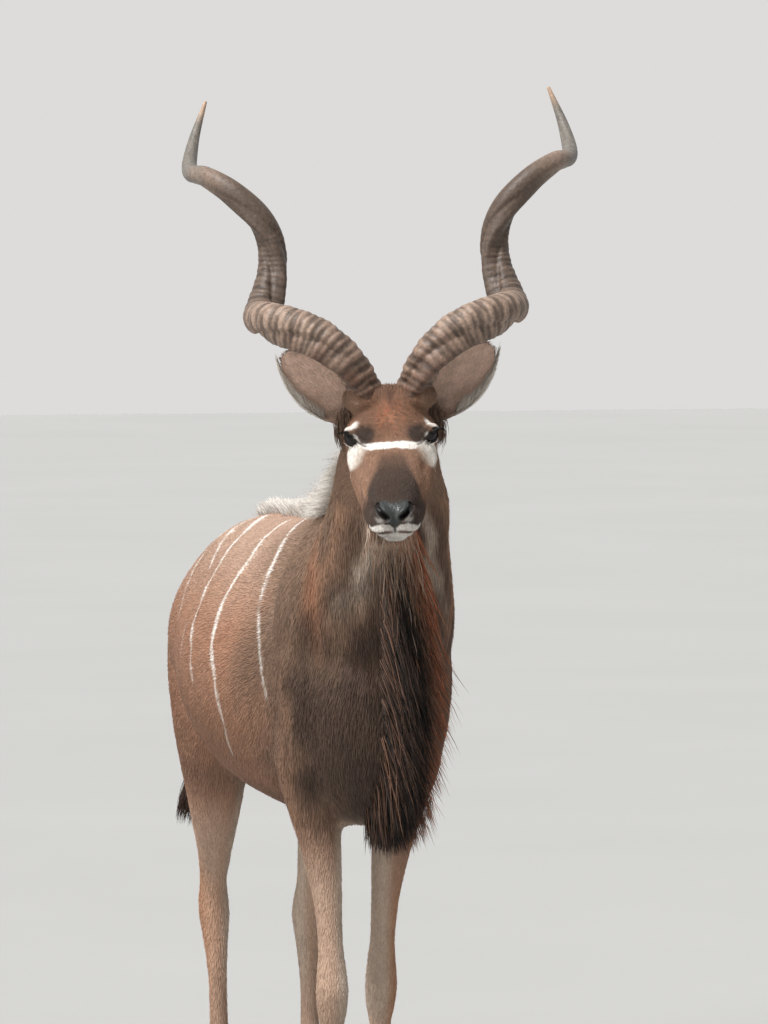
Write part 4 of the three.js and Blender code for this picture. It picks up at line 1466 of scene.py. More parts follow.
def tuft_tree():
    """Tufts set over one zone of the skin, leaning along the lie of its hair."""
    tree = bpy.data.node_groups.new("coat_tufts", "GeometryNodeTree")
    keys = {}
    for name, kind in TUFT_INPUTS.items():
        socket = tree.interface.new_socket(name=name, in_out="INPUT", socket_type="NodeSocket" + kind)
        keys[name] = socket.identifier
    tree.interface.new_socket(name="Coat", in_out="OUTPUT", socket_type="NodeSocketGeometry")
    source = tree.nodes.new("NodeGroupInput").outputs

    inputs = {0: attribute_node(tree, "zone", "FLOAT"), 1: source["Zone"], "Epsilon": 0.5}
    same = add_node(tree, "FunctionNodeCompare", inputs, data_type="FLOAT", operation="EQUAL")
    inputs = {"Geometry": source["Skin"], "Selection": same.outputs["Result"]}
    part = add_node(tree, "GeometryNodeSeparateGeometry", inputs, domain="FACE")
    dense = add_node(tree, "ShaderNodeMath", {0: source["Spacing"], 1: -2.0}, operation="POWER")
    inputs = {
        "Mesh": part.outputs["Selection"],
        "Distance Min": source["Spacing"],
        "Density Max": dense.outputs[0],
        "Density Factor": attribute_node(tree, "grow", "FLOAT"),
        "Seed": source["Seed"],
    }
    spread = add_node(tree, "GeometryNodeDistributePointsOnFaces", inputs, distribute_method="POISSON")

    roots = spread.outputs["Points"]
    position = tree.nodes.new("GeometryNodeInputPosition").outputs[0]
    tone = random_node(tree, "FLOAT", 0.0, 1.0, 5)
    for name, kind, value in (("root_place", "FLOAT_VECTOR", position), ("tone", "FLOAT", tone)):
        inputs = {"Geometry": roots, "Name": name, "Value": value}
        save = add_node(tree, "GeometryNodeStoreNamedAttribute", inputs, data_type=kind, domain="POINT")
        roots = save.outputs["Geometry"]

    lie = attribute_node(tree, "lie", "FLOAT_VECTOR")
    inputs = {"Primary Axis": spread.outputs["Normal"], "Secondary Axis": lie}
    turn = add_node(tree, "FunctionNodeAxesToRotation", inputs, primary_axis="Z", secondary_axis="Y")
    sway = random_node(tree, "FLOAT_VECTOR", (-0.04, -0.15, -0.17), (0.09, 0.15, 0.17), 7)
    lifted = add_node(tree, "ShaderNodeVectorMath", {0: sway, 1: (TUFT_LIFT, 0, 0)}, operation="ADD")
    bend = add_node(tree, "FunctionNodeEulerToRotation", {0: lifted.outputs[0]})
    inputs = {"Rotation": turn.outputs[0], "Rotate By": bend.outputs[0]}
    lean = add_node(tree, "FunctionNodeRotateRotation", inputs, rotation_space="LOCAL")

    inputs = {"X": source["Width"], "Y": source["Length"], "Z": source["Thickness"]}
    size = add_node(tree, "ShaderNodeCombineXYZ", inputs)
    scale = random_node(tree, "FLOAT_VECTOR", (0.75, 0.7, 0.7), (1.2, 1.25, 1.3), 9)
    inputs = {0: size.outputs[0], 1: scale}
    varied_size = add_node(tree, "ShaderNodeVectorMath", inputs, operation="MULTIPLY")

    tuft = add_node(tree, "GeometryNodeObjectInfo", {"Object": source["Tuft"]})
    place = add_node(tree, "GeometryNodeInstanceOnPoints", {
        "Points": roots,
        "Instance": tuft.outputs["Geometry"],
        "Rotation": lean.outputs[0],
        "Scale": varied_size.outputs[0],
    })
    real = add_node(tree, "GeometryNodeRealizeInstances", {"Geometry": place.outputs["Instances"]})
    inputs = {"Geometry": real.outputs["Geometry"], "Material": source["Finish"]}
    finish = add_node(tree, "GeometryNodeSetMaterial", inputs)
    add_node(tree, "NodeGroupOutput", {"Coat": finish.outputs["Geometry"]})
    return tree, keys


def unwrap_place(points):
    """Where layout points lie on an unwrap of the skin's own shape, from 0 to 1."""
    head = to_head(points)
    place = np.empty((len(points), 2))
    zone = zone_of(points, ear_share(head))
    for name, number in ZONE.items():
        chosen = zone == number
        if not chosen.any():
            continue
        x, y, z = points[chosen].T
        w, u, v = head[chosen].T
        if name in ("face", "head_back"):
            around = np.arctan2(w, v + 10) / TAU + 0.5
            length = (u + 60) / 520
        elif name == "ears":
            length, across, _ = ear_place(head[chosen])
            around = across / 130 * 0.5 + 0.25 + 0.5 * (w > 0)
        elif name == "neck":
            around = np.arctan2(x, -(y + 240) + 0.5 * (z - 1300)) / TAU + 0.5
            length = (z - 800) / 900
        elif name in ("fore_legs", "hind_legs"):
            middle_y = 20 if name == "fore_legs" else 1000
            around = np.arctan2(np.abs(x) - 80, y - middle_y) / TAU + 0.5
            around = around * 0.5 + 0.5 * (x > 0)
            length = z / 800
        else:
            around = np.arctan2(x, z - 1080) / TAU + 0.5
            length = (y + 320) / 1560
        row, column = divmod(number, PAGE_COLUMNS)
        place[chosen, 0] = (column + 0.03 + 0.94 * np.clip(around, 0, 1)) / PAGE_COLUMNS
        place[chosen, 1] = (row + 0.03 + 0.94 * np.clip(length, 0, 1)) / PAGE_ROWS
    return place


PATCH = 0.003  # size of one tuft's patch on the unwrap


def add_patches(mesh, roots, corners):
    """A UV map in which each tuft is a small patch at its root's place."""
    centre = unwrap_place(roots)
    spots = centre + (corners - 0.5) * PATCH
    index = np.empty(len(mesh.loops), np.int64)
    mesh.loops.foreach_get("vertex_index", index)
    layer = mesh.uv_layers.new(name="OFBake")
    layer.data.foreach_set("uv", np.ascontiguousarray(spots[index], np.float32).ravel())


BLADE_CORNERS = np.array([[0.1, 0.0], [0.9, 0.0], [0.0, 0.5], [1.0, 0.5], [0.5, 0.4], [0.5, 1.0]])


def finish_coat(mesh, contrast):
    """Colours each tuft as the skin is under it, darker at the root and paler at the tip."""
    roots = to_layout(stored(mesh, "root_place", 3))
    inside = stored(mesh, "ear_inside", 1)
    tone = stored(mesh, "tone", 1)
    corners = BLADE_CORNERS[np.arange(len(roots)) % len(BLADE_CORNERS)]
    colour = coat_colour(to_layout(mesh_points(mesh)), np.clip(inside, 0, 1))
    shade = (1 + contrast * 2 * (tone - 0.5)) * (1 + contrast * (corners[:, 1] - 0.5))
    paint_mesh(mesh, np.clip(colour * shade[:, None], 0, 1))
    add_patches(mesh, roots, corners)


def make_coat(skin, finish):
    """One piece of tufts for each zone of the skin."""
    tree, keys = tuft_tree()
    blade = object_from(tuft_blade())
    pieces = []
    for number, (name, _, spacing, length, width, thickness, contrast) in enumerate(ZONES):
        holder = object_from(skin.data.copy())
        holder.name = "coat_" + name
        grow = holder.modifiers.new("tufts", "NODES")
        grow.node_group = tree
        for key, value in (
            ("Tuft", blade),
            ("Zone", float(number)),
            ("Spacing", spacing * MM),
            ("Length", length * MM),
            ("Width", width * MM),
            ("Thickness", thickness * MM),
            ("Seed", COAT_SEED + number),
            ("Finish", finish),
        ):
            grow[keys[key]] = value
        mesh = settled(holder, "coat_" + name)
        finish_coat(mesh, contrast)
        pieces.append(object_from(mesh))
    bpy.data.objects.remove(blade)
    return pieces


def mesh_of_triangles(name, points, triangles):
    mesh = bpy.data.meshes.new(name)
    mesh.vertices.add(len(points))
    mesh.vertices.foreach_set("co", np.ascontiguousarray(points, np.float32).ravel())
    mesh.loops.add(len(triangles) * 3)
    mesh.loops.foreach_set("vertex_index", np.ascontiguousarray(triangles, np.int32).ravel())
    mesh.polygons.add(len(triangles))
    mesh.polygons.foreach_set("loop_start", np.arange(0, len(triangles) * 3, 3, dtype=np.int32))
    mesh.update(calc_edges=True)
    return mesh


def strand_triangles(levels):
    """Triangles of one three-sided strand that ends in a point."""
    made = [(0, 2, 1)]
    for k in range(levels - 2):
        for i in range(3):
            a = 3 * k + i
            b = 3 * k + (i + 1) % 3
            made += [(a, b, b + 3), (a, b + 3, a + 3)]
    top = 3 * (levels - 2)
    tip = 3 * (levels - 1)
    made += [(top + i, top + (i + 1) % 3, tip) for i in range(3)]
    return np.array(made)


def long_hair(name, hair, colour_at, finish, levels=6, seed=1, wave=0.05):
    """Tapered bent strands. hair holds root, way, length, width and droop of each strand."""
    random = np.random.default_rng(seed)
    root, way, long, wide, droop = hair
    way = unit(way)
    count = len(root)
    t = np.linspace(0, 1, levels)[None, :, None]
    size = long[:, None, None]
    wander = unit(random.normal(size=(count, 3)))[:, None]
    phase = random.random((count, 1, 1)) * TAU
    curl = np.sin(t * 4.5 + phase) - np.sin(phase)
    line = root[:, None] + size * (way[:, None] * t + droop[:, None] * t * t + wander * wave * curl * t)
    along = unit(np.gradient(line, axis=1))
    side = unit(np.cross(along, unit(random.normal(size=(count, 1, 3)))))
    up = np.cross(along, side)
    taper = (0.55 + 0.9 * t * (1 - t)) * np.sqrt(np.clip(1.0 - t, 0, 1)) * wide[:, None, None]
    rings = []
    for angle in (0.0, 2.2, -2.2):
        rings.append(line + side * taper * math.cos(angle) * 0.5 + up * taper * math.sin(angle) * 0.28)
    body = np.stack(rings, 2)[:, :-1].reshape(count, -1, 3)
    points = np.concatenate([body, line[:, -1:]], 1)
    each = points.shape[1]
    first = (np.arange(count) * each)[:, None, None]
    triangles = (strand_triangles(levels)[None] + first).reshape(-1, 3)
    mesh = mesh_of_triangles(name, to_frame(points.reshape(-1, 3)), triangles)
    level = np.append(np.repeat(np.arange(levels - 1), 3), levels - 1) / (levels - 1)
    corner = np.append(np.tile([0.0, 0.5, 1.0], levels - 1), 0.5)
    corners = np.tile(np.stack([corner, level], -1), (count, 1))
    colour = colour_at(root, np.repeat(level[None], count, 0), random)
    paint_mesh(mesh, np.clip(colour.reshape(-1, 3), 0, 0.95))
    add_patches(mesh, np.repeat(root, each, 0), corners)
    mesh.materials.append(finish)
    return object_from(mesh)


def shade_mix(first, second, share):
    return linear(first) + (linear(second) - linear(first)) * share[..., None]


def on_side(sign, root, way, long, wide, droop):
    """Strands given for the left side of the head, laid out on the right or the left."""
    mirror = np.array([sign, 1, 1])
    return from_head(root * mirror), head_vector(way * mirror), long, wide, head_vector(droop * mirror)


# Shades across the beard from the animal's right to its left
BEARD_PLACES = [-1.0, -0.85, -0.6, -0.1, 0.1, 0.4, 0.7, 1.0]
BEARD_SHADES = ["umber", "dark", "black", "black", "umber", "umber", "rufous", "bright"]


TABLE_STEPS = 200  # steps of a smoothed table that hair roots are read from


def beard_hair(finish, count=5200):
    random = np.random.default_rng(71)
    place = random.random(count) ** 0.95
    table = smooth_rows(BEARD_LINE, TABLE_STEPS)
    row = columns_at(table, place)
    line, way, side = (columns_at(part, place) for part in beard_frame(table))
    across = random.uniform(-1, 1, count)
    down = random.random(count) ** 1.3 * 0.42
    half = 38 * (1 - 1.5 * down)
    root = row[:, :3] + way * (row[:, 3] * down * 0.8)[:, None] + side * (across * half)[:, None]
    lean = way + side * (0.10 * across)[:, None] + line * random.normal(0, 0.10, count)[:, None]
    long = row[:, 3] * (1.0 - 0.8 * down) * random.uniform(0.72, 1.02, count)
    wide = random.uniform(3.0, 6.0, count)
    sway = random.normal(-0.06, 0.05, count)
    ahead = random.normal(0.03, 0.05, count)
    droop = np.stack([sway, ahead, -0.05 + 0 * place], -1)

    def colour_at(roots, level, random):
        outer = np.sign(side[:, 0]) * across + random.normal(0, 0.16, count)
        shades = np.array([linear(shade) for shade in BEARD_SHADES])
        base = np.stack([np.interp(outer, BEARD_PLACES, column) for column in shades.T], -1)
        chin = step(0.34, 0.22, place + random.normal(0, 0.05, count))
        base = blended(base, shade_mix("tan", "pale", random.random(count)), 0.85 * chin)
        strand = (random.random(count) < 0.22 + 0.3 * step(0.2, 0.8, outer))[:, None]
        amount = (level ** 1.2 * strand * step(-0.2, 0.3, outer)[:, None])[..., None]
        colour = base[:, None] + (linear("tan") - base[:, None]) * amount * 0.5
        return colour * random.uniform(0.7, 1.25, (len(roots), 1, 1))

    return long_hair("beard", (root, lean, long, wide, droop), colour_at, finish, 7, 72, 0.05)


def along_table(table, place):
    return columns_at(smooth_rows(table, TABLE_STEPS), place)


def crest_hair(finish, count=6900):
    """Upright hair along the back, and a longer mane that falls to the right of the nape."""
    random = np.random.default_rng(81)
    place = random.random(count) ** 1.1
    row = along_table(CREST_LINE, place)
    across = random.normal(0, 0.5, count)
    root = row[:, :3] + np.stack([across * 11, random.normal(0, 5, count), -6 - 5 * np.abs(across)], -1)
    nape = step(0.42, 0.34, place) * step(0.05, 0.12, place)
    sideways = 0.32 * across - 1.25 * nape
    lean = (0.5 + 0.1 * random.normal(size=count)) * (1 - 0.7 * nape)
    way = np.stack([sideways, lean, 1.0 - 0.72 * nape], -1)
    fall = np.interp(place, [0.03, 0.10, 0.27, 0.36], [60, 88, 108, 96])
    long = (row[:, 3] + 12) * (1 - nape) + fall * nape
    long = long * random.uniform(0.74, 1.04, count)
    wide = random.uniform(2.6, 4.6, count)
    droop = np.stack([0.12 * across - 0.2 * nape, 0.30 - 0.25 * nape, -0.16 - 0.1 * nape], -1)

    def colour_at(roots, level, random):
        dark = shade_mix("dark", "grey", 0.35 + 0 * place)
        lower = step(0.55, 1.2, np.abs(across) + random.normal(0, 0.2, count))
        white = shade_mix("white", "pale", random.random(count) * 0.45)
        base = blended(white, dark, 0.45 * lower * step(0.1, 0.3, place))
        colour = base[:, None] * (0.88 + 0.24 * level[..., None])
        return colour * random.uniform(0.92, 1.1, (len(roots), 1, 1))

    return long_hair("crest", (root, way, long, wide, droop), colour_at, finish, 6, 82, 0.05)


def tail_hair(finish, count=1700):
    random = np.random.default_rng(91)
    place = random.random(count) ** 0.7
    row = along_table(TAIL, 0.42 + 0.58 * place)
    angle = random.random(count) * TAU
    out = np.stack([np.cos(angle), np.sin(angle), 0 * angle], -1)
    root = row[:, :3] + out * (row[:, 3] * 0.7)[:, None]
    way = np.array([-0.2, -0.03, -1.0]) + out * 0.22
    long = np.clip(root[:, 2] - 655, 30, 190) * random.uniform(0.55, 0.98, count)
    wide = random.uniform(2.6, 4.6, count)

    def colour_at(roots, level, random):
        low = step(960, 830, roots[:, 2])
        base = shade_mix("tan", "black", 0.25 + 0.7 * low)
        tip = shade_mix("dark", "rufous", 0.25 + 0 * low)
        colour = base[:, None] + (tip - base)[:, None] * (0.5 * level[..., None] ** 2)
        return colour * random.uniform(0.8, 1.2, (len(roots), 1, 1))

    return long_hair("tail_tuft", (root, way, long, wide, -out * 0.12), colour_at, finish, 6, 92, 0.04)


def ear_hair(name, sign, finish, count=760):
    """Pale hair along the edges of an ear, most of it at the lower edge."""
    random = np.random.default_rng(101 + sign)
    along, facing, across = ear_frame()
    t = random.uniform(0.26, 0.95, count)
    lower = random.random(count) < 0.8
    edge = np.where(lower != (across[2] > 0), 1.0, -1.0)
    angle = edge * random.uniform(1.2, 1.7, count)
    out = across * (value_at(EAR_WIDTHS, t) * np.sin(angle) * 0.95)[:, None]
    deep = facing * (value_at(EAR_CUPS, t) * np.cos(angle) * 0.9)[:, None]
    root = EAR_BASE + (EAR_TIP - EAR_BASE) * t[:, None] + out - deep
    way = along * 0.9 - across * (edge * 0.55)[:, None] + facing * 0.35
    long = random.uniform(20, 40, count) * np.where(lower, 1.0, 0.4)
    wide = random.uniform(1.2, 2.2, count)

    def colour_at(roots, level, random):
        base = shade_mix("white", "pale", random.random(len(roots)))
        return base[:, None] * (0.8 + 0.2 * level[..., None])

    hair = on_side(sign, root, way, long, wide, np.zeros((count, 3)))
    return long_hair("ear_fringe_" + name, hair, colour_at, finish, 5, 111 + sign, 0.05)


def ear_locks(name, sign, finish, count=900):
    """Grey streaky hair that lies from the root of an ear down beside the eye."""
    random = np.random.default_rng(141 + sign)
    t = random.random(count)
    spread = random.normal(0, 1, (count, 3)) * [5, 13, 6]
    root = np.array([70.0, 54.0, 82.0]) + t[:, None] * [30, -12, -72] + spread
    way = np.array([0.16, 0.0, -1.0]) + random.normal(0, 0.09, (count, 3))
    long = random.uniform(26, 46, count)
    wide = random.uniform(2.0, 3.4, count)
    droop = np.tile([-0.30, 0.05, -0.1], (count, 1))

    def colour_at(roots, level, random):
        streak = 0.5 + 0.5 * np.sin(roots[:, 1] * 0.35 + roots[:, 0] * 0.35)
        share = np.clip(0.55 * streak + random.normal(0, 0.14, len(roots)), 0, 1)
        return shade_mix("grey", "dark", share)[:, None] * (0.85 + 0.3 * level[..., None])

    hair = on_side(sign, root, way, long, wide, droop)
    return long_hair("ear_locks_" + name, hair, colour_at, finish, 6, 151 + sign, 0.05)


HORN_TAN = np.array([0.25, 0.178, 0.135])
HORN_RED = np.array([0.10, 0.052, 0.034])
HORN_BROWN = np.array([0.062, 0.042, 0.031])
HORN_GREY = np.array([0.16, 0.16, 0.145])
HORN_IVORY = np.array([0.50, 0.34, 0.24])
EYE_BROWN = np.array([0.010, 0.006, 0.004])
EYE_IRIS = np.array([0.012, 0.006, 0.004])
EYE_PUPIL = np.array([0.002, 0.002, 0.002])


def horn_rings(sign, count=420, sides=56):
    """Rings along the horn with the keel, its groove and fine cross ridges."""
    rows = smooth_rows(HORN, count)
    centre = rows[:, :3]
    along = unit(np.gradient(centre, axis=0))
    axis = unit(HORN_AXIS_ALONG)
    start = centre - HORN_AXIS_FROM
    out = start - axis * (start @ axis)[:, None]
    out = unit(out - along * (out * along).sum(-1, keepdims=True))
    side = np.cross(along, out)
    place = np.linspace(0, 1, count)[:, None]
    angle = (TAU * np.arange(sides) / sides)[None]
    fade = np.minimum(1, (1 - place) * 1.6)
    from_keel = np.angle(np.exp(1j * (angle - KEEL_TURN)))
    keel = 0.40 * np.exp(-(from_keel / 0.36) ** 2) - 0.20 * np.exp(-((from_keel - 0.85) / 0.20) ** 2)
    keel = keel - 0.17 * np.exp(-((from_keel + 0.85) / 0.20) ** 2)
    length = np.cumsum(np.linalg.norm(np.gradient(centre, axis=0), axis=1))[:, None]
    strength = np.clip((0.66 - place) / 0.3, 0, 1)
    fine = np.sin(length / 2.3 + 2.4 * np.sin(length / 31) + 0.9 * np.sin(2 * angle + length / 60))
    coarse = np.sin(length / 6.1 + 1.4 * np.sin(angle * 2) + 1.7 * np.sin(length / 47))
    ridge = (1.3 * fine + 1.3 * coarse) * strength
    ridge = ridge * (1 - 0.6 * np.exp(-(from_keel / 0.6) ** 2))
    r = rows[:, 3:4] * (0.95 + keel * fade) + ridge * (0.5 + 0.5 * np.cos(from_keel * 0.5))
    outward = out[:, None] * (r * np.cos(angle))[..., None]
    sideways = side[:, None] * (r * np.sin(angle))[..., None]
    ring = centre[:, None] + outward + sideways
    points = np.stack([sign * ring[..., 0], -ring[..., 1], ring[..., 2]], -1)
    return from_head(points), place + 0 * angle, from_keel + 0 * place, ridge + 0 * angle


def horn_colour(place, from_keel, ridge, points):
    noise = skin_noise(points, 60, 41)
    fine = skin_noise(points, 14, 42)
    low = step(0.3, 0.0, place) * 0.6 + 0.5 * np.exp(-(from_keel / 0.5) ** 2) * step(0.7, 0.3, place)
    middle = step(0.34, 0.46, place) * step(0.80, 0.72, place)
    colour = np.tile(HORN_TAN, (len(points), 1))
    for shade, share in (
        (HORN_RED, np.clip(low + 0.15 * noise, 0, 1)),
        (HORN_BROWN, 0.75 * middle),
        (HORN_GREY, 0.75 * step(0.78, 0.86, place + 0.02 * noise)),
        (HORN_IVORY, step(0.955, 0.99, place)),
    ):
        colour = blended(colour, shade, share)
    # painted highlight on the ridges and painted shade in the grooves between them
    ridge_light_and_shade = 1 + 0.42 * np.clip(ridge, -1, 1) + 0.10 * fine
    return np.clip(colour * ridge_light_and_shade[:, None], 0.01, 0.95)


def make_horn(name, sign, finish):
    rings, *values = horn_rings(sign)
    mesh = lofts_mesh("horn_" + name + "_shape", [rings])
    place, from_keel, ridge = (np.append(value.ravel(), value[[0, -1], 0]) for value in values)
    paint_mesh(mesh, horn_colour(place, from_keel, ridge, to_layout(mesh_points(mesh))))
    return finished(mesh, finish)


def make_eye(name, sign, finish):
    ball = egg_rings([0, 0, 0], [EYE_RADIUS - 0.2] * 3, 40, 56)
    mesh = lofts_mesh("eyeball_" + name, [from_head((ball + EYE) * [sign, 1, 1])])
    a, b, c, _ = eye_place(folded(to_head(to_layout(mesh_points(mesh)))))
    iris = step(0.62, 0.55, np.hypot(a, b)) * (c > 0)
    pupil = step(1.1, 0.95, np.hypot(a / 0.42, b / 0.2)) * (c > 0)
    colour = blended(np.tile(EYE_BROWN, (len(a), 1)), EYE_IRIS, iris)
    paint_mesh(mesh, blended(colour, EYE_PUPIL, pupil))
    return finished(mesh, finish)


def cord_faces(count, sides):
    """Faces of a closed cord of rings."""
    r, i = np.meshgrid(np.arange(count), np.arange(sides), indexing="ij")
    corners = []
    for ahead, onward in ((0, 0), (0, 1), (1, 1), (1, 0)):
        corners.append(((r + ahead) % count * sides + (i + onward) % sides).ravel())
    return np.stack(corners, -1).tolist()


def lid_rim(name, sign, finish):
    """The dark wet edge of the lids, a closed cord round the opening."""
    turn = TAU * np.arange(80) / 80
    a = OPEN_HALF * np.cos(turn)
    b = np.where(np.sin(turn) > 0, 1, -1) * lid_edge(a, np.sin(turn) > 0)
    way = ball_way(a, b)
    line = EYE + way * (EYE_RADIUS + 0.7)
    ahead = unit(np.roll(line, -1, 0) - np.roll(line, 1, 0))
    side = unit(np.cross(ahead, way))
    angle = ring_angles(10)
    thick = (1.3 + 1.7 * np.clip(np.sin(turn), 0, 1))[:, None, None]
    out = way[:, None] * np.cos(angle)[None, :, None]
    round_it = side[:, None] * np.sin(angle)[None, :, None]
    ring = line[:, None] + thick * (out + round_it)
    points = to_frame(from_head(ring.reshape(-1, 3) * [sign, 1, 1]))
    mesh = mesh_from("lid_rim_" + name, points, cord_faces(len(turn), len(angle)))
    face_outwards(mesh)
    paint_mesh(mesh, all_over("wet", points))
    return finished(mesh, finish)


def lashes(name, sign, finish, count=220):
    """Hair that stands out level from the edge of the upper lid."""
    _, up, look = eye_axes()
    random = np.random.default_rng(121 + sign)
    a = random.uniform(-0.84, 0.35, count)
    root = EYE + ball_way(a, lid_edge(a, True)) * (EYE_RADIUS + 1)
    way = look * 0.25 + np.array([1.0, 0.15, -0.06]) + random.normal(0, 0.07, (count, 3))
    long = random.uniform(8, 15, count) + 5 * (a < -0.5)
    wide = random.uniform(1.0, 1.7, count)

    def colour_at(roots, level, random):
        return np.tile(linear("wet"), (*level.shape, 1))

    hair = on_side(sign, root, way, long, wide, np.tile(-up * 0.10, (count, 1)))
    return long_hair("lashes_" + name, hair, colour_at, finish, 4, 131 + sign, 0.03)


BUMP_DEPTH = 0.0012
HAIR_GRAIN = ((900, 260, 600), 2.0, (0.82, 1.14))


def material_base(name, roughness, gloss=0.5):
    material = bpy.data.materials.new(name)
    material.use_nodes = True
    tree = material.node_tree
    shader = tree.nodes["Principled BSDF"]
    shader.inputs["Roughness"].default_value = roughness
    shader.inputs["Specular IOR Level"].default_value = gloss
    return material, tree, shader


def stretched_noise(tree, scales, detail=3.0):
    """Noise on object coordinates, drawn out along one direction."""
    place = tree.nodes.new("ShaderNodeTexCoord").outputs["Object"]
    mapping = add_node(tree, "ShaderNodeMapping", {"Vector": place, "Scale": scales})
    inputs = {"Vector": mapping.outputs["Vector"], "Scale": 1.0, "Detail": detail}
    return add_node(tree, "ShaderNodeTexNoise", inputs).outputs["Fac"]


def level_node(tree, factor, start, end, low, high):
    """A level from low to high while the factor goes from start to end."""
    inputs = {"Value": factor, "From Min": start, "From Max": end, "To Min": low, "To Max": high}
    return add_node(tree, "ShaderNodeMapRange", inputs).outputs["Result"]


def varied(tree, colour, factor, low, high):
    """The colour times a brightness between low and high."""
    level = level_node(tree, factor, 0.3, 0.7, low, high)
    scale = add_node(tree, "ShaderNodeVectorMath", {0: colour, "Scale": level}, operation="SCALE")
    return scale.outputs["Vector"]


def add_bump(tree, shader, height, distance, strength):
    inputs = {"Height": height, "Distance": distance, "Strength": strength}
    bump = add_node(tree, "ShaderNodeBump", inputs)
    tree.links.new(bump.outputs["Normal"], shader.inputs["Normal"])


def shade_by(tree, shader, factor, dark, light):
    """Colours the surface between two shades by a factor."""
    ramp = add_node(tree, "ShaderNodeValToRGB", {"Fac": factor})
    for stop, shade in zip(ramp.color_ramp.elements, (dark, light)):
        stop.color = (*shade, 1)
    tree.links.new(ramp.outputs["Color"], shader.inputs["Base Color"])


def surface(name, roughness, gloss, grain=None, detail=3.0, levels=(1, 1), bump=0.0):
    """A material in the painted colour, with a grain in its brightness and its height."""
    material, tree, shader = material_base(name, roughness, gloss)
    colour = add_node(tree, "ShaderNodeAttribute", attribute_name="paint").outputs["Color"]
    if grain:
        noise = stretched_noise(tree, grain, detail)
        colour = varied(tree, colour, noise, *levels)
        if bump:
            add_bump(tree, shader, noise, BUMP_DEPTH, bump)
    tree.links.new(colour, shader.inputs["Base Color"])
    return material


def skin_material():
    """Short flat hair as fine streaks, and the moist bare nose."""
    material = surface("hide", 0.8, 0.25, (300, 70, 160), 3.0, (0.78, 1.16), 0.9)
    tree = material.node_tree
    moist = add_node(tree, "ShaderNodeAttribute", attribute_name="moist").outputs["Fac"]
    rough = level_node(tree, moist, 0, 1, 0.82, 0.32)
    tree.links.new(rough, tree.nodes["Principled BSDF"].inputs["Roughness"])
    return material


def hoof_material():
    material, tree, shader = material_base("hoof_horn", 0.45)
    rings = stretched_noise(tree, (30, 30, 420))
    shade_by(tree, shader, rings, (0.014, 0.011, 0.009), (0.060, 0.048, 0.038))
    add_bump(tree, shader, rings, 0.0008, 0.8)
    return material


FLOOR_HALF = 40.0


def floor_material():
    material, tree, shader = material_base("studio_floor", 0.9)
    noise = stretched_noise(tree, (0.7, 0.7, 0.7), 2.0)
    shade_by(tree, shader, noise, (0.40, 0.40, 0.39), (0.44, 0.44, 0.43))
    return material


def add_floor():
    mesh = bpy.data.meshes.new("floor")
    corners = [(x * FLOOR_HALF, y * FLOOR_HALF, 0) for x, y in ((-1, -1), (1, -1), (1, 1), (-1, 1))]
    mesh.from_pydata(corners, [], [(0, 1, 2, 3)])
    mesh.materials.append(floor_material())
    floor = object_from(mesh)


def add_light(name, kind, at, towards, **settings):
    lamp = bpy.data.lights.new(name, kind)
    for key, value in settings.items():
        setattr(lamp, key, value)
    thing = object_from(lamp)
    thing.location = at
    thing.rotation_euler = (Vector(towards) - Vector(at)).to_track_quat("-Z", "Y").to_euler()


SKY_LOW = 0.46
SKY_HIGH = 0.62
BACKDROP = 0.40  # added to the sky behind the animal
SUN_WAY = (0.50, 0.22, -1.0)
KEY_AT = (-4.5, -3.0, 3.5)
CHEST = (0, -0.2, 1.3)


def add_sky():
    """A soft studio sky: brighter overhead and behind the animal."""
    world = bpy.data.worlds.new("studio")
    world.use_nodes = True
    tree = world.node_tree
    way = tree.nodes.new("ShaderNodeTexCoord").outputs["Generated"]
    apart = add_node(tree, "ShaderNodeSeparateXYZ", {0: way}).outputs
    overhead = level_node(tree, apart["Z"], 0.1, 1.0, SKY_LOW, SKY_HIGH)
    behind = level_node(tree, apart["Y"], 0.2, 0.95, 0.0, BACKDROP)
    both = add_node(tree, "ShaderNodeMath", {0: overhead, 1: behind}, operation="ADD")
    sky = tree.nodes["Background"]
    sky.inputs["Color"].default_value = (0.84, 0.83, 0.82, 1)
    tree.links.new(both.outputs[0], sky.inputs["Strength"])
    bpy.context.scene.world = world


def add_lights():
    add_sky()
    bpy.context.scene.view_settings.view_transform = "Standard"
    add_light("soft_sun", "SUN", (0, 0, 0), SUN_WAY, energy=3.6, angle=math.radians(14))
    add_light("key", "AREA", KEY_AT, CHEST, size=2.0, energy=90, color=(1.0, 0.96, 0.91))


CAMERA_AT = (-3.254, -14.988, 2.198)
CAMERA_TURN = (87.0, 0.0, -12.5)
CAMERA_LENS = 263.67


def add_camera():
    camera = bpy.data.cameras.new("camera")
    camera.lens = CAMERA_LENS
    camera.sensor_width = 36
    camera.clip_end = 200
    thing = object_from(camera)
    thing.location = CAMERA_AT
    thing.rotation_euler = [math.radians(angle) for angle in CAMERA_TURN]
    bpy.context.scene.camera = thing


FLESH = ["head", "neck", "torso", "tail", "ear_right", "ear_left"]
FLESH += [f"{name}_{part}_leg" for name in STANCE for part in ("upper", "lower")]


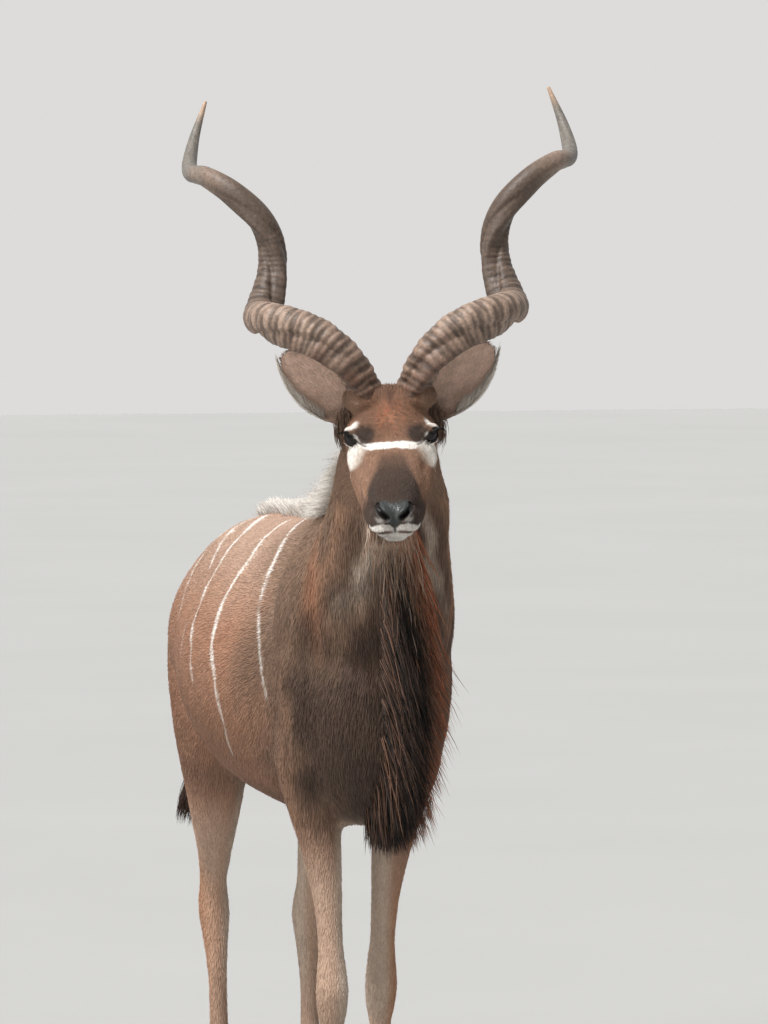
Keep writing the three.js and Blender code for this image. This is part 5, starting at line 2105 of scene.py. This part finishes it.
def dewclaws(name, finish):
    """Two small claws behind a fetlock."""
    sign, out, back = STANCE[name]
    middle_x, middle_y = FOOT[name.split("_")[0]]
    tilt = 0.5
    rings = []
    for side in (-1, 1):
        claw = egg_rings([0, 0, 0], [9, 12, 15], 16, 20)
        y = claw[..., 1] * math.cos(tilt) - claw[..., 2] * math.sin(tilt)
        z = claw[..., 1] * math.sin(tilt) + claw[..., 2] * math.cos(tilt)
        x = claw[..., 0] + sign * (middle_x + out) + side * DEWCLAW_OUT
        rings.append(np.stack([x, y + middle_y + back + HEEL_BACK, z + DEWCLAW_HEIGHT], -1))
    return finished(lofts_mesh("dewclaws_" + name, rings), finish)


def dress_hooves(finish):
    for name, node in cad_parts.items():
        if "hoof" in name:
            node.data.materials.clear()
            node.data.materials.append(finish)


def keep(piece, slot, *nodes):
    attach(piece, BODY)
    if nodes:
        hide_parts(*nodes)


def build():
    add_camera()
    add_lights()
    add_floor()
    hide = skin_material()
    coat = surface("coat_hair", 0.62, 0.3, *HAIR_GRAIN)
    long_coat = surface("long_hair", 0.55, 0.3, *HAIR_GRAIN)
    horn = surface("horn_surface", 0.5, 0.4, (180, 180, 180), 6.0, (0.72, 1.22), 0.8)
    wet = surface("wet_eye", 0.03, 0.35)
    rim = surface("lid_skin", 0.3, 0.35)

    mesh = joined_mesh([make_skin()] + [ear_mesh(sign) for sign in SIDES.values()], "skin")
    dress_skin(mesh)
    mesh.materials.clear()
    skin = finished(mesh, hide)
    for piece, zone in zip(make_coat(skin, coat), ZONES):
        keep(piece, zone[1])
    keep(skin, "body_coat", *FLESH)
    keep(beard_hair(long_coat), "neck_coat")
    keep(crest_hair(long_coat), "body_coat")
    keep(tail_hair(long_coat), "tail_coat")
    for make in (ear_hair, ear_locks):
        for name, sign in SIDES.items():
            keep(make(name, sign, long_coat), "ear_coat")
    for name, sign in SIDES.items():
        keep(make_horn(name, sign, horn), "horn", "horn_" + name)
        keep(make_eye(name, sign, wet), "eye", "eye_" + name)
        keep(lid_rim(name, sign, rim), "head_coat")
        keep(lashes(name, sign, long_coat), "head_coat")
    hoof = hoof_material()
    dress_hooves(hoof)
    for name in STANCE:
        keep(dewclaws(name, hoof), "hoof")


build()
